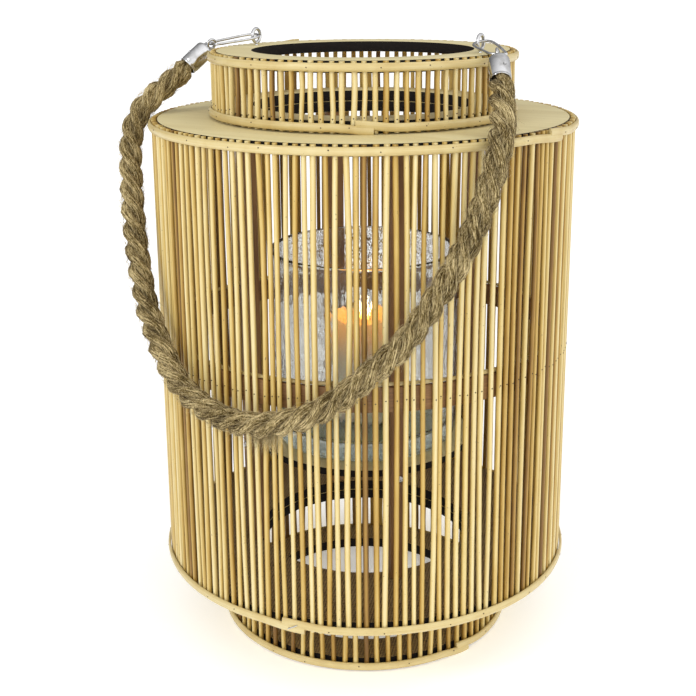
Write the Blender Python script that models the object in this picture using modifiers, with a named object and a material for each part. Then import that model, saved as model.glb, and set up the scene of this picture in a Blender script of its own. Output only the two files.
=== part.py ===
"""Bamboo lantern with a rope handle, a glass jar and a pillar candle.

Metres, +Z up. The origin is the centre of the base, on the surface that the lantern stands on.
The handle's two screw eyes are on the X axis, and the rope hangs over the front, towards -Y.

From the floor up, the lantern is a short foot, a wide body and a collar as wide as the foot. Each
is a cage of upright rods nailed round two annular plywood plates, with half-round bands outside.
"""

import math

import bmesh
import bpy
from mathutils import Matrix, Vector

MM = 0.001
GAP = 0.3 * MM  # clearance between pieces that touch

# Driving sizes
BODY_R = 145 * MM  # outside of the body's bands
NECK_R = 104.5 * MM  # outside of the foot's and the collar's bands
HOLE_R = 74.5 * MM  # the hole through every plate
PLATE_T = 7.5 * MM
FOOT_H = 50.7 * MM
BODY_H = 312 * MM
COLLAR_H = 43.2 * MM

# Rods and bands
ROD_R = 1.8 * MM
ROD_SIDES = 6
STRIP_T = 0.6 * MM  # the strip that ties a panel's rods together at one end
STRIP_HALF_W = 1.75 * MM
BAND_T = 1.9 * MM
BAND_H = 5.6 * MM
ROUND_STEPS = 40  # sides of every large ring
BODY_RODS = (10, 15)  # panels, rods in each
COLLAR_RODS = (6, 16)
FOOT_RODS = (6, 14)

# Levels, worked out from the heights
BODY_Z0 = FOOT_H + GAP
BODY_Z1 = BODY_Z0 + BODY_H
COLLAR_Z0 = BODY_Z1 + GAP
TOP_Z = COLLAR_Z0 + COLLAR_H

# Inside the body
HOOP_Z0 = 199.8 * MM
HOOP_H = 16 * MM
HOOP_T = 3 * MM
BEAD = 3 * MM  # square section of the strip on top of the hoop
POST_W = 11.5 * MM
POST_IN_R = HOLE_R + 1.0 * MM  # from the axis to a post's inner face
SHELF_Z0 = 129.1 * MM
SHELF_T = 5 * MM
SHELF_R = POST_IN_R - GAP
SHELF_SCREW_R = 1.3 * MM
SHELF_SCREW_HEAD_R = 2.8 * MM
SHELF_SCREW_L = 21 * MM

# Jar and candle
JAR_Z0 = SHELF_Z0 + SHELF_T + GAP
JAR_R = 66 * MM
JAR_H = 136 * MM
JAR_WALL = 3.6 * MM
JAR_BASE = 12 * MM
CANDLE_R = 25 * MM
CANDLE_Z0 = JAR_Z0 + JAR_BASE + GAP
CANDLE_TOP = 220.8 * MM
CANDLE_WELL_R = 21 * MM
CANDLE_WELL_D = 9 * MM
CANDLE_ROUND = 1.5 * MM  # its rounded corners
WICK_R = 0.9 * MM
WICK_TOP = 219.8 * MM
WICK_ROOT = 8 * MM

# Handle
EYE = Vector((86 * MM, 0, 413 * MM))  # centre of the right eye's ring, on the link's axis
EYE_RING_R = 4.7 * MM
EYE_WIRE_R = 1.15 * MM
EYE_SHANK_L = 6 * MM
LINK_END = Vector((108.1 * MM, -23.3 * MM, 407.9 * MM))  # where the right ferrule hangs on its link
LINK_WIRE_R = 0.9 * MM
LINK_TIP_R = 6 * MM
LINK_BASE = 6.4 * MM
LINK_BASE_L = 6 * MM  # from the shoulders to the base
LINK_TIP_OUT = 4.6 * MM  # from the eye's centre to the centre of the link's round tip
LINK_SQUARE = 0.8  # half the straight base, in terms of LINK_BASE
LINK_SHOULDER = 1.05  # half the width at the shoulders
LINK_ROLL = math.radians(10)
FERRULE_DIR = Vector((0.382, -0.694, -0.611)).normalized()  # from the link's end along the ferrule
FERRULE_R = 6.7 * MM
FERRULE_BORE_R = 6.1 * MM
FERRULE_TOP = 3.4 * MM
FERRULE_DOME = 4 * MM
FERRULE_FLOOR = 5.6 * MM  # from the top to the bottom of the bore
FERRULE_END = 23.6 * MM
LUG_RING_R = 3.2 * MM
LUG_WIRE_R = 0.95 * MM
SET_SCREW_R = 1.1 * MM
SET_SCREW_AT = 15.5 * MM
ROPE_R = 8 * MM
ROPE_NECK_R = 5.7 * MM  # where the ferrule grips it
ROPE_IN_FERRULE = 11 * MM  # from the link's end to the rope's end
ROPE_FULL = 28.5 * MM  # to where it has swollen to its full size
ROPE_FREE = 33 * MM  # to where it starts to bend
ROPE_POINTS = 46
# Half of the rope's route, from its lowest point: degrees round from the front, radius, height
ROPE_HALF = (
    (0, 155 * MM, 192.5 * MM),
    (18, 155 * MM, 204 * MM),
    (34, 155 * MM, 238 * MM),
    (38.6, 155.2 * MM, 250.3 * MM),
    (51.9, 157.3 * MM, 306.3 * MM),
    (60.1, 154.2 * MM, 360.8 * MM),
)

COLOURS = {
    "veneer": ((0.72, 0.60, 0.38, 1), 0.6, 0.0),
    "rattan_band": ((0.70, 0.55, 0.30, 1), 0.5, 0.0),
    "rod": ((0.72, 0.55, 0.27, 1), 0.55, 0.0),
    "brown_wood": ((0.33, 0.19, 0.08, 1), 0.6, 0.0),
    "black_board": ((0.03, 0.025, 0.02, 1), 0.7, 0.0),
    "glass": ((0.80, 0.90, 0.86, 0.35), 0.05, 0.0),
    "wax": ((0.85, 0.76, 0.55, 1), 0.45, 0.0),
    "wick": ((0.05, 0.04, 0.03, 1), 0.9, 0.0),
    "bright_steel": ((0.80, 0.80, 0.82, 1), 0.15, 1.0),
    "jute": ((0.30, 0.22, 0.12, 1), 0.9, 0.0),
}


def start_scene():
    """Empties the scene and makes one collection for the lantern and one for its tools."""
    for old in list(bpy.data.objects):
        bpy.data.objects.remove(old)
    collections = []
    for name in ("bamboo_lantern", "tools"):
        collection = bpy.data.collections.new(name)
        bpy.context.scene.collection.children.link(collection)
        collections.append(collection)
    return collections


PARTS, TOOLS = start_scene()


def material(kind):
    """The finish of one kind of piece, made once."""
    if kind in bpy.data.materials:
        return bpy.data.materials[kind]
    colour, roughness, metallic = COLOURS[kind]
    made = bpy.data.materials.new(kind)
    made.use_nodes = True
    shader = made.node_tree.nodes["Principled BSDF"]
    shader.inputs["Base Color"].default_value = colour
    shader.inputs["Alpha"].default_value = colour[3]
    shader.inputs["Roughness"].default_value = roughness
    shader.inputs["Metallic"].default_value = metallic
    made.diffuse_color = colour
    return made


def add_part(name, data, kind, place=None):
    """Puts a mesh or a curve into the lantern as a named piece."""
    piece = bpy.data.objects.new(name, data)
    PARTS.objects.link(piece)
    data.materials.append(material(kind))
    if place is not None:
        piece.matrix_world = place
    return piece


def add_tool(name, data, place=None):
    """Puts a mesh among the cutters and joiners, which aren't pieces."""
    tool = bpy.data.objects.new(name, data)
    TOOLS.objects.link(tool)
    tool.hide_render = True
    tool.display_type = "WIRE"
    if place is not None:
        tool.matrix_world = place
    return tool


def mesh_of(shape, name):
    """Turns a bmesh into a mesh and frees it."""
    mesh = bpy.data.meshes.new(name)
    shape.to_mesh(mesh)
    shape.free()
    return mesh


def smooth(mesh):
    """Shades round faces smooth and keeps the corners sharp."""
    mesh.shade_smooth()
    mesh.set_sharp_from_angle(angle=math.radians(35))


def boolean(piece, tool, operation):
    """Cuts a piece with a tool, or joins the tool to it."""
    modifier = piece.modifiers.new(operation.lower(), "BOOLEAN")
    modifier.operation = operation
    modifier.object = tool
    modifier.solver = "EXACT"


def profile_mesh(name, points, closed):
    """A line of (radius, height) points in the XZ plane, for a Screw modifier to turn."""
    shape = bmesh.new()
    corners = [shape.verts.new((radius, 0, height)) for radius, height in points]
    for start, end in zip(corners, corners[1:]):
        shape.edges.new((start, end))
    if closed:
        shape.edges.new((corners[-1], corners[0]))
    return mesh_of(shape, name)


def turned(name, points, kind, closed=False, steps=ROUND_STEPS, place=None):
    """A piece turned about its own Z axis. The profile runs down its outer side, top to bottom."""
    piece = add_part(name, profile_mesh(name, points, closed), kind, place)
    screw = piece.modifiers.new("turn", "SCREW")
    screw.steps = steps
    screw.render_steps = steps
    screw.use_merge_vertices = True
    screw.merge_threshold = 0.01 * MM
    screw.use_smooth_shade = False
    return piece


def cylinder_mesh(name, radius, z0, z1, sides):
    """A closed cylinder about Z between two heights."""
    shape = bmesh.new()
    bmesh.ops.create_cone(
        shape,
        cap_ends=True,
        segments=sides,
        radius1=radius,
        radius2=radius,
        depth=z1 - z0,
        matrix=Matrix.Translation((0, 0, (z0 + z1) / 2)),
    )
    return mesh_of(shape, name)


def rod_circle(outer_r):
    """Radius of the circle that the rods' centres stand on, inside a band of this outer radius."""
    band_clear = (outer_r - BAND_T) * math.cos(math.pi / ROUND_STEPS)
    return band_clear - GAP - ROD_R


def plate_radius(outer_r):
    """Radius of the plates that the rods are nailed to."""
    return rod_circle(outer_r) - ROD_R - GAP


def annular_plate(name, outer_r, z0):
    """A ring of plywood, with its lower face at z0."""
    radius = plate_radius(outer_r)
    z1 = z0 + PLATE_T
    corners = ((radius, z1), (radius, z0), (HOLE_R, z0), (HOLE_R, z1))
    return turned(name, corners, "veneer", closed=True)


def edge_band(name, outer_r, z_middle):
    """A half-round rattan band, bent round the rods at the middle of a plate's edge."""
    inner = outer_r - BAND_T
    half = BAND_H / 2
    points = (
        (inner, z_middle + half),
        (outer_r, z_middle + 0.45 * half),
        (outer_r, z_middle - 0.45 * half),
        (inner, z_middle - half),
    )
    return turned(name, points, "rattan_band", closed=True)


def rod_panel(name, outer_r, rod_span, strip_z, count, index):
    """One sector of a cage: its rods, joined by a thin strip at one end."""
    panels, rods = count
    circle = rod_circle(outer_r)
    pitch = 2 * math.pi / (panels * rods)
    start = (index * rods - 0.5) * pitch
    slack = GAP / circle
    inner = circle - STRIP_HALF_W
    outer = circle + STRIP_HALF_W
    top = strip_z + STRIP_T
    shape = bmesh.new()
    corners = []
    for radius, height in ((outer, top), (outer, strip_z), (inner, strip_z), (inner, top)):
        corners.append(shape.verts.new((radius, 0, height)))
    face = shape.faces.new(corners)
    first = Matrix.Rotation(start + slack, 3, "Z")
    bmesh.ops.rotate(shape, verts=corners, cent=(0, 0, 0), matrix=first)
    bmesh.ops.spin(
        shape,
        geom=[face],
        axis=(0, 0, 1),
        cent=(0, 0, 0),
        angle=rods * pitch - 2 * slack,
        steps=rods // 2,
    )
    bmesh.ops.recalc_face_normals(shape, faces=shape.faces)
    panel = add_part(name, mesh_of(shape, name), "rod")

    low, high = rod_span
    shape = bmesh.new()
    for number in range(rods):
        angle = start + (number + 0.5) * pitch
        middle = (circle * math.cos(angle), circle * math.sin(angle), (low + high) / 2)
        flat_outward = Matrix.Rotation(angle, 4, "Z")
        bmesh.ops.create_cone(
            shape,
            cap_ends=True,
            segments=ROD_SIDES,
            radius1=ROD_R,
            radius2=ROD_R,
            depth=high - low,
            matrix=Matrix.Translation(middle) @ flat_outward,
        )
    boolean(panel, add_tool(name + "_sticks", mesh_of(shape, name + "_sticks")), "UNION")


def cage(prefix, outer_r, rod_span, strip_z, count):
    """All the rod panels round one part of the lantern."""
    for index in range(count[0]):
        rod_panel(f"{prefix}_rods_{index + 1:02d}", outer_r, rod_span, strip_z, count, index)


def make_shell():
    """Plates, bands and rods of the foot, the body and the collar."""
    levels = {
        "foot_bottom": (NECK_R, 0.0),
        "foot_top": (NECK_R, FOOT_H - PLATE_T),
        "body_bottom": (BODY_R, BODY_Z0),
        "body_top": (BODY_R, BODY_Z1 - PLATE_T),
        "collar_bottom": (NECK_R, COLLAR_Z0),
        "collar_top": (NECK_R, TOP_Z - PLATE_T),
    }
    plates = {}
    for name, (outer_r, z0) in levels.items():
        plates[name] = annular_plate(name + "_plate", outer_r, z0)
        if name != "foot_top":
            edge_band(name + "_band", outer_r, z0 + PLATE_T / 2)
    half_in = STRIP_T / 2
    cage("foot", NECK_R, (GAP, FOOT_H - half_in), FOOT_H - STRIP_T, FOOT_RODS)
    cage("body", BODY_R, (BODY_Z0 + half_in, BODY_Z1), BODY_Z0, BODY_RODS)
    cage("collar", NECK_R, (COLLAR_Z0 + half_in, TOP_Z), COLLAR_Z0, COLLAR_RODS)
    return plates


def make_hoop():
    """The flat hoop half way up, which keeps the body's rods evenly spaced, and its bead."""
    outer = plate_radius(BODY_R)
    inner = outer - HOOP_T
    z1 = HOOP_Z0 + HOOP_H
    flat = ((outer, z1), (outer, HOOP_Z0), (inner, HOOP_Z0), (inner, z1))
    turned("mid_hoop", flat, "brown_wood", closed=True)
    low = z1 + GAP
    high = low + BEAD
    bead = ((outer, high), (outer, low), (outer - BEAD, low), (outer - BEAD, high))
    turned("hoop_bead", bead, "rod", closed=True)


def shelf_screw_mesh(name, clearance):
    """A pan-head screw along local X, its head outside; with clearance it is the hole's cutter."""
    radius = SHELF_SCREW_R + clearance
    shape = bmesh.new()
    bmesh.ops.create_cone(
        shape,
        cap_ends=True,
        segments=10,
        radius1=radius,
        radius2=radius,
        depth=SHELF_SCREW_L + clearance,
        matrix=Matrix.Translation((-(SHELF_SCREW_L + clearance) / 2, 0, 0))
        @ Matrix.Rotation(math.pi / 2, 4, "Y"),
    )
    return mesh_of(shape, name)


def make_inside():
    """Four posts between the body's plates, the shelf they carry, and its screws."""
    above = (0, SHELF_Z0 + SHELF_T)
    below = (0, SHELF_Z0)
    corners = ((SHELF_R, SHELF_Z0 + SHELF_T), (SHELF_R, SHELF_Z0))
    shelf = turned("shelf", (above, *corners, below), "black_board")
    z0 = BODY_Z0 + PLATE_T + GAP
    z1 = BODY_Z1 - PLATE_T - GAP
    names = ("back_right", "back_left", "front_left", "front_right")
    for index, name in enumerate(names):
        turn = Matrix.Rotation(math.radians(45 + 90 * index), 4, "Z")
        shape = bmesh.new()
        bmesh.ops.create_cube(shape, size=1.0)
        bmesh.ops.scale(shape, verts=shape.verts, vec=(POST_W, POST_W, z1 - z0))
        place = turn @ Matrix.Translation((POST_IN_R + POST_W / 2, 0, (z0 + z1) / 2))
        post = add_part("post_" + name, mesh_of(shape, "post_" + name), "brown_wood", place)

        under_head = (POST_IN_R + POST_W + GAP, 0, SHELF_Z0 + SHELF_T / 2)
        seat = turn @ Matrix.Translation(under_head)
        drill = add_tool("drill_" + name, shelf_screw_mesh("drill_" + name, GAP), seat)
        boolean(post, drill, "DIFFERENCE")
        boolean(shelf, drill, "DIFFERENCE")
        make_shelf_screw("shelf_screw_" + name, seat)


def make_shelf_screw(name, seat):
    """A screw driven through a post into the shelf's edge, turned about local Z along its shank."""
    head_t = 1.6 * MM
    profile = (
        (0, head_t),
        (0.65 * SHELF_SCREW_HEAD_R, head_t),
        (SHELF_SCREW_HEAD_R, 0.5 * head_t),
        (SHELF_SCREW_HEAD_R, 0),
        (SHELF_SCREW_R, 0),
        (SHELF_SCREW_R, -SHELF_SCREW_L + 2 * SHELF_SCREW_R),
        (0, -SHELF_SCREW_L),
    )
    lie_down = Matrix.Rotation(math.pi / 2, 4, "Y")
    turned(name, profile, "bright_steel", steps=10, place=seat @ lie_down)


def make_jar():
    """A straight-sided glass jar with a thick base and rounded corners."""
    z0 = JAR_Z0
    z1 = JAR_Z0 + JAR_H
    inner = JAR_R - JAR_WALL
    floor_z = z0 + JAR_BASE
    lip = 1.2 * MM
    corner = 6 * MM
    profile = (
        (0, floor_z),
        (inner - corner, floor_z),
        (inner - 0.3 * corner, floor_z + 0.3 * corner),
        (inner, floor_z + corner),
        (inner, z1 - lip),
        (inner + lip, z1),
        (JAR_R - lip, z1),
        (JAR_R, z1 - lip),
        (JAR_R, z0 + corner),
        (JAR_R - 0.3 * corner, z0 + 0.3 * corner),
        (JAR_R - corner, z0),
        (0, z0),
    )
    turned("glass_jar", profile, "glass", steps=36)


def make_candle():
    """A pillar candle, hollowed round its wick, and the wick in its bore."""
    well_z = CANDLE_TOP - CANDLE_WELL_D
    bore_r = WICK_R + GAP
    profile = (
        (0, well_z - WICK_ROOT),
        (bore_r, well_z - WICK_ROOT),
        (bore_r, well_z),
        (CANDLE_WELL_R - 2 * CANDLE_ROUND, well_z),
        (CANDLE_WELL_R, well_z + CANDLE_ROUND),
        (CANDLE_WELL_R + CANDLE_ROUND, CANDLE_TOP),
        (CANDLE_R - 0.5 * CANDLE_ROUND, CANDLE_TOP),
        (CANDLE_R, CANDLE_TOP - CANDLE_ROUND),
        (CANDLE_R, CANDLE_Z0 + CANDLE_ROUND),
        (CANDLE_R - CANDLE_ROUND, CANDLE_Z0),
        (0, CANDLE_Z0),
    )
    turned("candle", profile, "wax", steps=24)
    wick_z = well_z - WICK_ROOT + GAP
    wick = ((0, WICK_TOP), (WICK_R, WICK_TOP), (WICK_R, wick_z), (0, wick_z))
    turned("wick", wick, "wick", steps=8)


def mirrored(point, side):
    """A point of the right-hand fittings, moved to the side that is asked for."""
    return Vector((side * point.x, point.y, point.z))


def torus_mesh(name, ring_r, wire_r, major, minor):
    """A ring of round wire about the X axis."""
    bpy.ops.mesh.primitive_torus_add(
        major_radius=ring_r,
        minor_radius=wire_r,
        major_segments=major,
        minor_segments=minor,
        rotation=(0, math.pi / 2, 0),
    )
    ring = bpy.context.object
    mesh = ring.data
    mesh.transform(ring.matrix_basis)
    mesh.name = name
    bpy.data.objects.remove(ring)
    smooth(mesh)
    return mesh


def make_eye(side, label, plate):
    """A screw eye on the collar's top plate. Its ring stands in the YZ plane."""
    centre = mirrored(EYE, side)
    name = "screw_eye_" + label
    ring = torus_mesh(name, EYE_RING_R, EYE_WIRE_R, 16, 6)
    eye = add_part(name, ring, "bright_steel", Matrix.Translation(centre))
    top = -EYE_RING_R
    bottom = TOP_Z - EYE_SHANK_L - centre.z
    shank = cylinder_mesh(name + "_shank", EYE_WIRE_R, bottom, top, 8)
    boolean(eye, add_tool(name + "_shank", shank, Matrix.Translation(centre)), "UNION")
    drill = cylinder_mesh(name + "_drill", EYE_WIRE_R + GAP, bottom - GAP, 0, 8)
    boolean(plate, add_tool(name + "_drill", drill, Matrix.Translation(centre)), "DIFFERENCE")


def smooth_line(points, count, closed=False):
    """Evenly spaced points along a centripetal Catmull-Rom curve through the given ones."""
    if closed:
        guide = [points[-1], *points, points[0], points[1]]
    else:
        guide = [2 * points[0] - points[1], *points, 2 * points[-1] - points[-2]]
    dense = []
    parts = 24
    for before, start, end, after in zip(guide, guide[1:], guide[2:], guide[3:]):
        t1 = math.sqrt((start - before).length)
        t2 = t1 + math.sqrt((end - start).length)
        t3 = t2 + math.sqrt((after - end).length)
        for step in range(parts):
            t = t1 + (t2 - t1) * step / parts
            a1 = before.lerp(start, t / t1)
            a2 = start.lerp(end, (t - t1) / (t2 - t1))
            a3 = end.lerp(after, (t - t2) / (t3 - t2))
            b1 = a1.lerp(a2, t / t2)
            b2 = a2.lerp(a3, (t - t1) / (t3 - t1))
            dense.append(b1.lerp(b2, (t - t1) / (t2 - t1)))
    dense.append(guide[-2])
    reach = [0.0]
    for start, end in zip(dense, dense[1:]):
        reach.append(reach[-1] + (end - start).length)
    even = []
    spans = count if closed else count - 1
    index = 0
    for step in range(count):
        target = reach[-1] * step / spans
        while index < len(dense) - 2 and reach[index + 1] < target:
            index += 1
        span = max(reach[index + 1] - reach[index], 1e-9)
        even.append(dense[index].lerp(dense[index + 1], (target - reach[index]) / span))
    return even


def wire_curve(name, points, radius, closed=False, sizes=None, resolution=2):
    """A round wire or rope along straight steps between points."""
    curve = bpy.data.curves.new(name, "CURVE")
    curve.dimensions = "3D"
    curve.bevel_depth = radius
    curve.bevel_resolution = resolution
    curve.use_fill_caps = not closed
    spline = curve.splines.new("POLY")
    spline.points.add(len(points) - 1)
    spline.use_cyclic_u = closed
    for index, (knot, point) in enumerate(zip(spline.points, points)):
        knot.co = (*point, 1)
        knot.radius = sizes[index] if sizes else 1.0
    return curve


def make_link(side, label):
    """A long wire link: a round tip through the screw eye and a straight base at the ferrule."""
    along = (LINK_END - EYE).normalized()
    level = Vector((-along.y, along.x, 0)).normalized()
    across = level * math.cos(LINK_ROLL) + along.cross(level) * math.sin(LINK_ROLL)
    tip = EYE + along * LINK_TIP_OUT
    points = []
    for degrees in (90, 135, 180, 225, 270):
        turn = math.radians(degrees)
        points.append(tip + LINK_TIP_R * (math.cos(turn) * along + math.sin(turn) * across))
    base = Vector((LINK_BASE, 0, 0))
    shoulder = LINK_END - along * LINK_BASE_L
    points.append(shoulder - LINK_SHOULDER * base)
    points.append(LINK_END - LINK_SQUARE * base)
    points.append(LINK_END.copy())
    points.append(LINK_END + LINK_SQUARE * base)
    points.append(shoulder + LINK_SHOULDER * base)
    points = [mirrored(point, side) for point in points]
    if side < 0:
        points.reverse()
    name = "link_" + label
    line = smooth_line(points, 26, closed=True)
    add_part(name, wire_curve(name, line, LINK_WIRE_R, closed=True, resolution=1), "bright_steel")


def ferrule_place(side):
    """The ferrule's own frame: origin on the link, -Z along the rope, X as near world X as it goes."""
    down = mirrored(FERRULE_DIR, side)
    z_axis = -down
    x_axis = (Vector((1, 0, 0)) - z_axis * z_axis.x).normalized()
    y_axis = z_axis.cross(x_axis)
    turn = Matrix((x_axis, y_axis, z_axis)).transposed().to_4x4()
    return Matrix.Translation(mirrored(LINK_END, side)) @ turn


def make_ferrule(side, label):
    """A domed cap over the rope's end, with a ring for the link and a set screw in its wall."""
    name = "ferrule_" + label
    place = ferrule_place(side)
    profile = (
        (0, -FERRULE_TOP),
        (0.6 * FERRULE_R, -FERRULE_TOP - 0.12 * FERRULE_DOME),
        (0.9 * FERRULE_R, -FERRULE_TOP - 0.48 * FERRULE_DOME),
        (FERRULE_R, -FERRULE_TOP - FERRULE_DOME),
        (FERRULE_R, -FERRULE_END),
        (FERRULE_BORE_R, -FERRULE_END),
        (FERRULE_BORE_R, -FERRULE_TOP - FERRULE_FLOOR),
        (0, -FERRULE_TOP - FERRULE_FLOOR),
    )
    ferrule = turned(name, profile, "bright_steel", steps=18, place=place)
    lug = torus_mesh(name + "_lug", LUG_RING_R, LUG_WIRE_R, 14, 6)
    boolean(ferrule, add_tool(name + "_lug", lug, place), "UNION")

    face = Matrix.Rotation(math.radians(-50 if side > 0 else -130), 4, "Z")
    lie_down = Matrix.Rotation(math.pi / 2, 4, "Y")
    seat = place @ Matrix.Translation((0, 0, -SET_SCREW_AT)) @ face @ lie_down
    drill = cylinder_mesh(name + "_drill", SET_SCREW_R + GAP, 0.6 * FERRULE_R, 1.5 * FERRULE_R, 10)
    boolean(ferrule, add_tool(name + "_drill", drill, seat), "DIFFERENCE")
    screw = cylinder_mesh("set_screw_" + label, SET_SCREW_R, ROPE_NECK_R + GAP, FERRULE_R + 0.5 * MM, 10)
    add_part("set_screw_" + label, screw, "bright_steel", seat)


def make_rope():
    """The rope, from the bore of one ferrule to the bore of the other."""
    right = []
    for degrees, radius, height in ROPE_HALF:
        turn = math.radians(degrees)
        right.append(Vector((radius * math.sin(turn), -radius * math.cos(turn), height)))
    right.append(LINK_END + ROPE_FREE * FERRULE_DIR)
    right.append(LINK_END + ROPE_IN_FERRULE * FERRULE_DIR)
    left = [mirrored(point, -1) for point in right[:0:-1]]
    neck = ROPE_NECK_R / ROPE_R
    ends = ((ROPE_IN_FERRULE, neck), (FERRULE_END, neck), (ROPE_FULL, 1.0))
    knots = [(mirrored(LINK_END + reach * FERRULE_DIR, -1), size) for reach, size in ends]
    for point in smooth_line(left + right, ROPE_POINTS):
        if min((point - mirrored(LINK_END, side)).length for side in (-1, 1)) > ROPE_FREE:
            knots.append((point, 1.0))
    knots += [(LINK_END + reach * FERRULE_DIR, size) for reach, size in reversed(ends)]
    line = [point for point, size in knots]
    sizes = [size for point, size in knots]
    add_part("rope_handle", wire_curve("rope_handle", line, ROPE_R, sizes=sizes), "jute")


def make_handle(plate):
    """Everything the lantern is carried by."""
    for side, label in ((1, "right"), (-1, "left")):
        make_eye(side, label, plate)
        make_link(side, label)
        make_ferrule(side, label)
    make_rope()


PLATES = make_shell()
make_hoop()
make_inside()
make_jar()
make_candle()
make_handle(PLATES["collar_top"])
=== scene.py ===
# %% [markdown]
# # A round rattan lantern with a rope handle
#
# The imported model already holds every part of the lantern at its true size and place. This file
# gives those parts their finished surfaces: split rattan, veneer, chrome, hammered glass, wax and
# jute. Each step first says what the piece is on the real lantern, how it could be made in
# Blender, and why this way was chosen.

import math
import random

import bmesh
import bpy
from mathutils import Matrix, Vector, noise


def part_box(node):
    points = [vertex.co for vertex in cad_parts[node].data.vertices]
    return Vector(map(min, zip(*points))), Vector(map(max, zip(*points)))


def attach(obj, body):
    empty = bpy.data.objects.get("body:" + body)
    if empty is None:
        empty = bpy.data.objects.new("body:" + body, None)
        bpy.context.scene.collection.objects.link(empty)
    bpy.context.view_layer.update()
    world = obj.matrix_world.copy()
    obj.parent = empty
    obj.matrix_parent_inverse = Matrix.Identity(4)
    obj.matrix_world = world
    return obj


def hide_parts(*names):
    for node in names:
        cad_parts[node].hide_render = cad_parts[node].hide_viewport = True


MM = 0.001
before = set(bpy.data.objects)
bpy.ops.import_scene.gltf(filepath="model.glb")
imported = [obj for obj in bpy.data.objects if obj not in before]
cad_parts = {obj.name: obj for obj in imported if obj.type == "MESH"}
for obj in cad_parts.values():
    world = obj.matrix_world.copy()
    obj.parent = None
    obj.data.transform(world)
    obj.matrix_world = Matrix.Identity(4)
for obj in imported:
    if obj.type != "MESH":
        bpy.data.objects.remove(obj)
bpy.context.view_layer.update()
print("frame loaded with", len(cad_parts), "nodes")

# %% [markdown]
# ## The camera
#
# A lantern on a table is seen from a little above its top. The camera stands about 0.8 m away,
# just higher than the collar, and turned so that the handle's two ends are left and right of
# the middle. A small lens shift moves the lantern up in the frame, as an architect's lens would;
# tilting the camera further down would make the uprights meet towards the floor.

# %% Place the camera
CAMERA_AT = Vector((399.4, -706.6, 464.4)) * MM
CAMERA_HEADING = math.radians(30.25)
CAMERA_DOWN = math.radians(14.67)
CAMERA_ROLL = math.radians(-0.44)
CAMERA_LENS = 61.66
CAMERA_SHIFT = -0.11

camera_data = bpy.data.cameras.new("camera")
camera_data.lens = CAMERA_LENS
camera_data.shift_y = CAMERA_SHIFT
camera_data.clip_start = 10 * MM
camera = bpy.data.objects.new("camera", camera_data)
aim = Matrix.Rotation(CAMERA_HEADING, 4, "Z")
aim = aim @ Matrix.Rotation(math.pi / 2 - CAMERA_DOWN, 4, "X")
aim = aim @ Matrix.Rotation(CAMERA_ROLL, 4, "Z")
camera.matrix_world = Matrix.Translation(CAMERA_AT) @ aim
bpy.context.scene.collection.objects.link(camera)
bpy.context.scene.camera = camera
print("camera at", tuple(round(x, 3) for x in CAMERA_AT))

# %% [markdown]
# ## Helpers for meshes
#
# Nearly everything here is either turned, like the plates and the jar, or bent along a line,
# like the bands and the rope. Two helpers cover both. `turn` spins an outline about the
# lantern's axis. `wrap` starts from a flat grid and moves each point to its place on the piece,
# which rolls the grid into a tube, a band or a strand, and then closes its seam and its ends.

# %% A finished piece from a bmesh
GRAIN = "grain"  # each point's place on the straight, unbent piece, in metres


def finish_piece(name, shape, body, stands_for=(), finishes=(), sharp=40):
    """Turns a bmesh into a smooth piece that rides on a body and stands for its CAD nodes."""
    mesh = bpy.data.meshes.new(name)
    shape.to_mesh(mesh)
    shape.free()
    mesh.shade_smooth()
    mesh.set_sharp_from_angle(angle=math.radians(sharp))
    piece = bpy.data.objects.new(name, mesh)
    bpy.context.scene.collection.objects.link(piece)
    for finish in finishes:
        mesh.materials.append(finish)
    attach(piece, body)
    if stands_for:
        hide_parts(*stands_for)
    return piece


def close_up(shape, merge=0.002 * MM):
    """Merges the seam's doubles, fills open ends and points every face outwards."""
    bmesh.ops.remove_doubles(shape, verts=shape.verts, dist=merge)
    rims = [edge for edge in shape.edges if edge.is_boundary]
    if rims:
        bmesh.ops.holes_fill(shape, edges=rims, sides=0)
    bmesh.ops.recalc_face_normals(shape, faces=shape.faces)


def turn(outline, steps, closed=False):
    """Spins a line of (radius, height) points a full turn about the Z axis."""
    shape = bmesh.new()
    points = [shape.verts.new((radius, 0, height)) for radius, height in outline]
    lines = [shape.edges.new(pair) for pair in zip(points, points[1:])]
    if closed:
        lines.append(shape.edges.new((points[-1], points[0])))
    bmesh.ops.spin(
        shape,
        geom=points + lines,
        axis=(0, 0, 1),
        cent=(0, 0, 0),
        angle=2 * math.pi,
        steps=steps,
        use_merge=True,
        use_duplicate=False,
    )
    close_up(shape)
    return shape


def wrap(around, along, place, shape=None):
    """Rolls a flat grid up: place(v, u) gives a point and its grain, with v round and u along."""
    sheet = bmesh.new()
    layer = sheet.verts.layers.float_vector.new(GRAIN)
    bmesh.ops.create_grid(sheet, x_segments=around, y_segments=along, size=0.5)
    for corner in sheet.verts:
        v = round((corner.co.x + 0.5) * around)
        u = round((corner.co.y + 0.5) * along)
        corner.co, corner[layer] = place(v / around, u / along)
    close_up(sheet)
    if shape is None:
        return sheet
    holder = bpy.data.meshes.new("holder")
    sheet.to_mesh(holder)
    sheet.free()
    shape.from_mesh(holder)
    bpy.data.meshes.remove(holder)
    return shape


# %% [markdown]
# ## Helpers for finishes
#
# A procedural finish is a small calculation: stretched noise for grain, a ramp for colour, a
# bump for relief. Wiring dozens of nodes by hand hides that calculation, so a small class wraps
# a socket and lets Python's own operators add the Math nodes. Everything that varies over the
# surface ends in the colour, the roughness or the bump.

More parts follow.
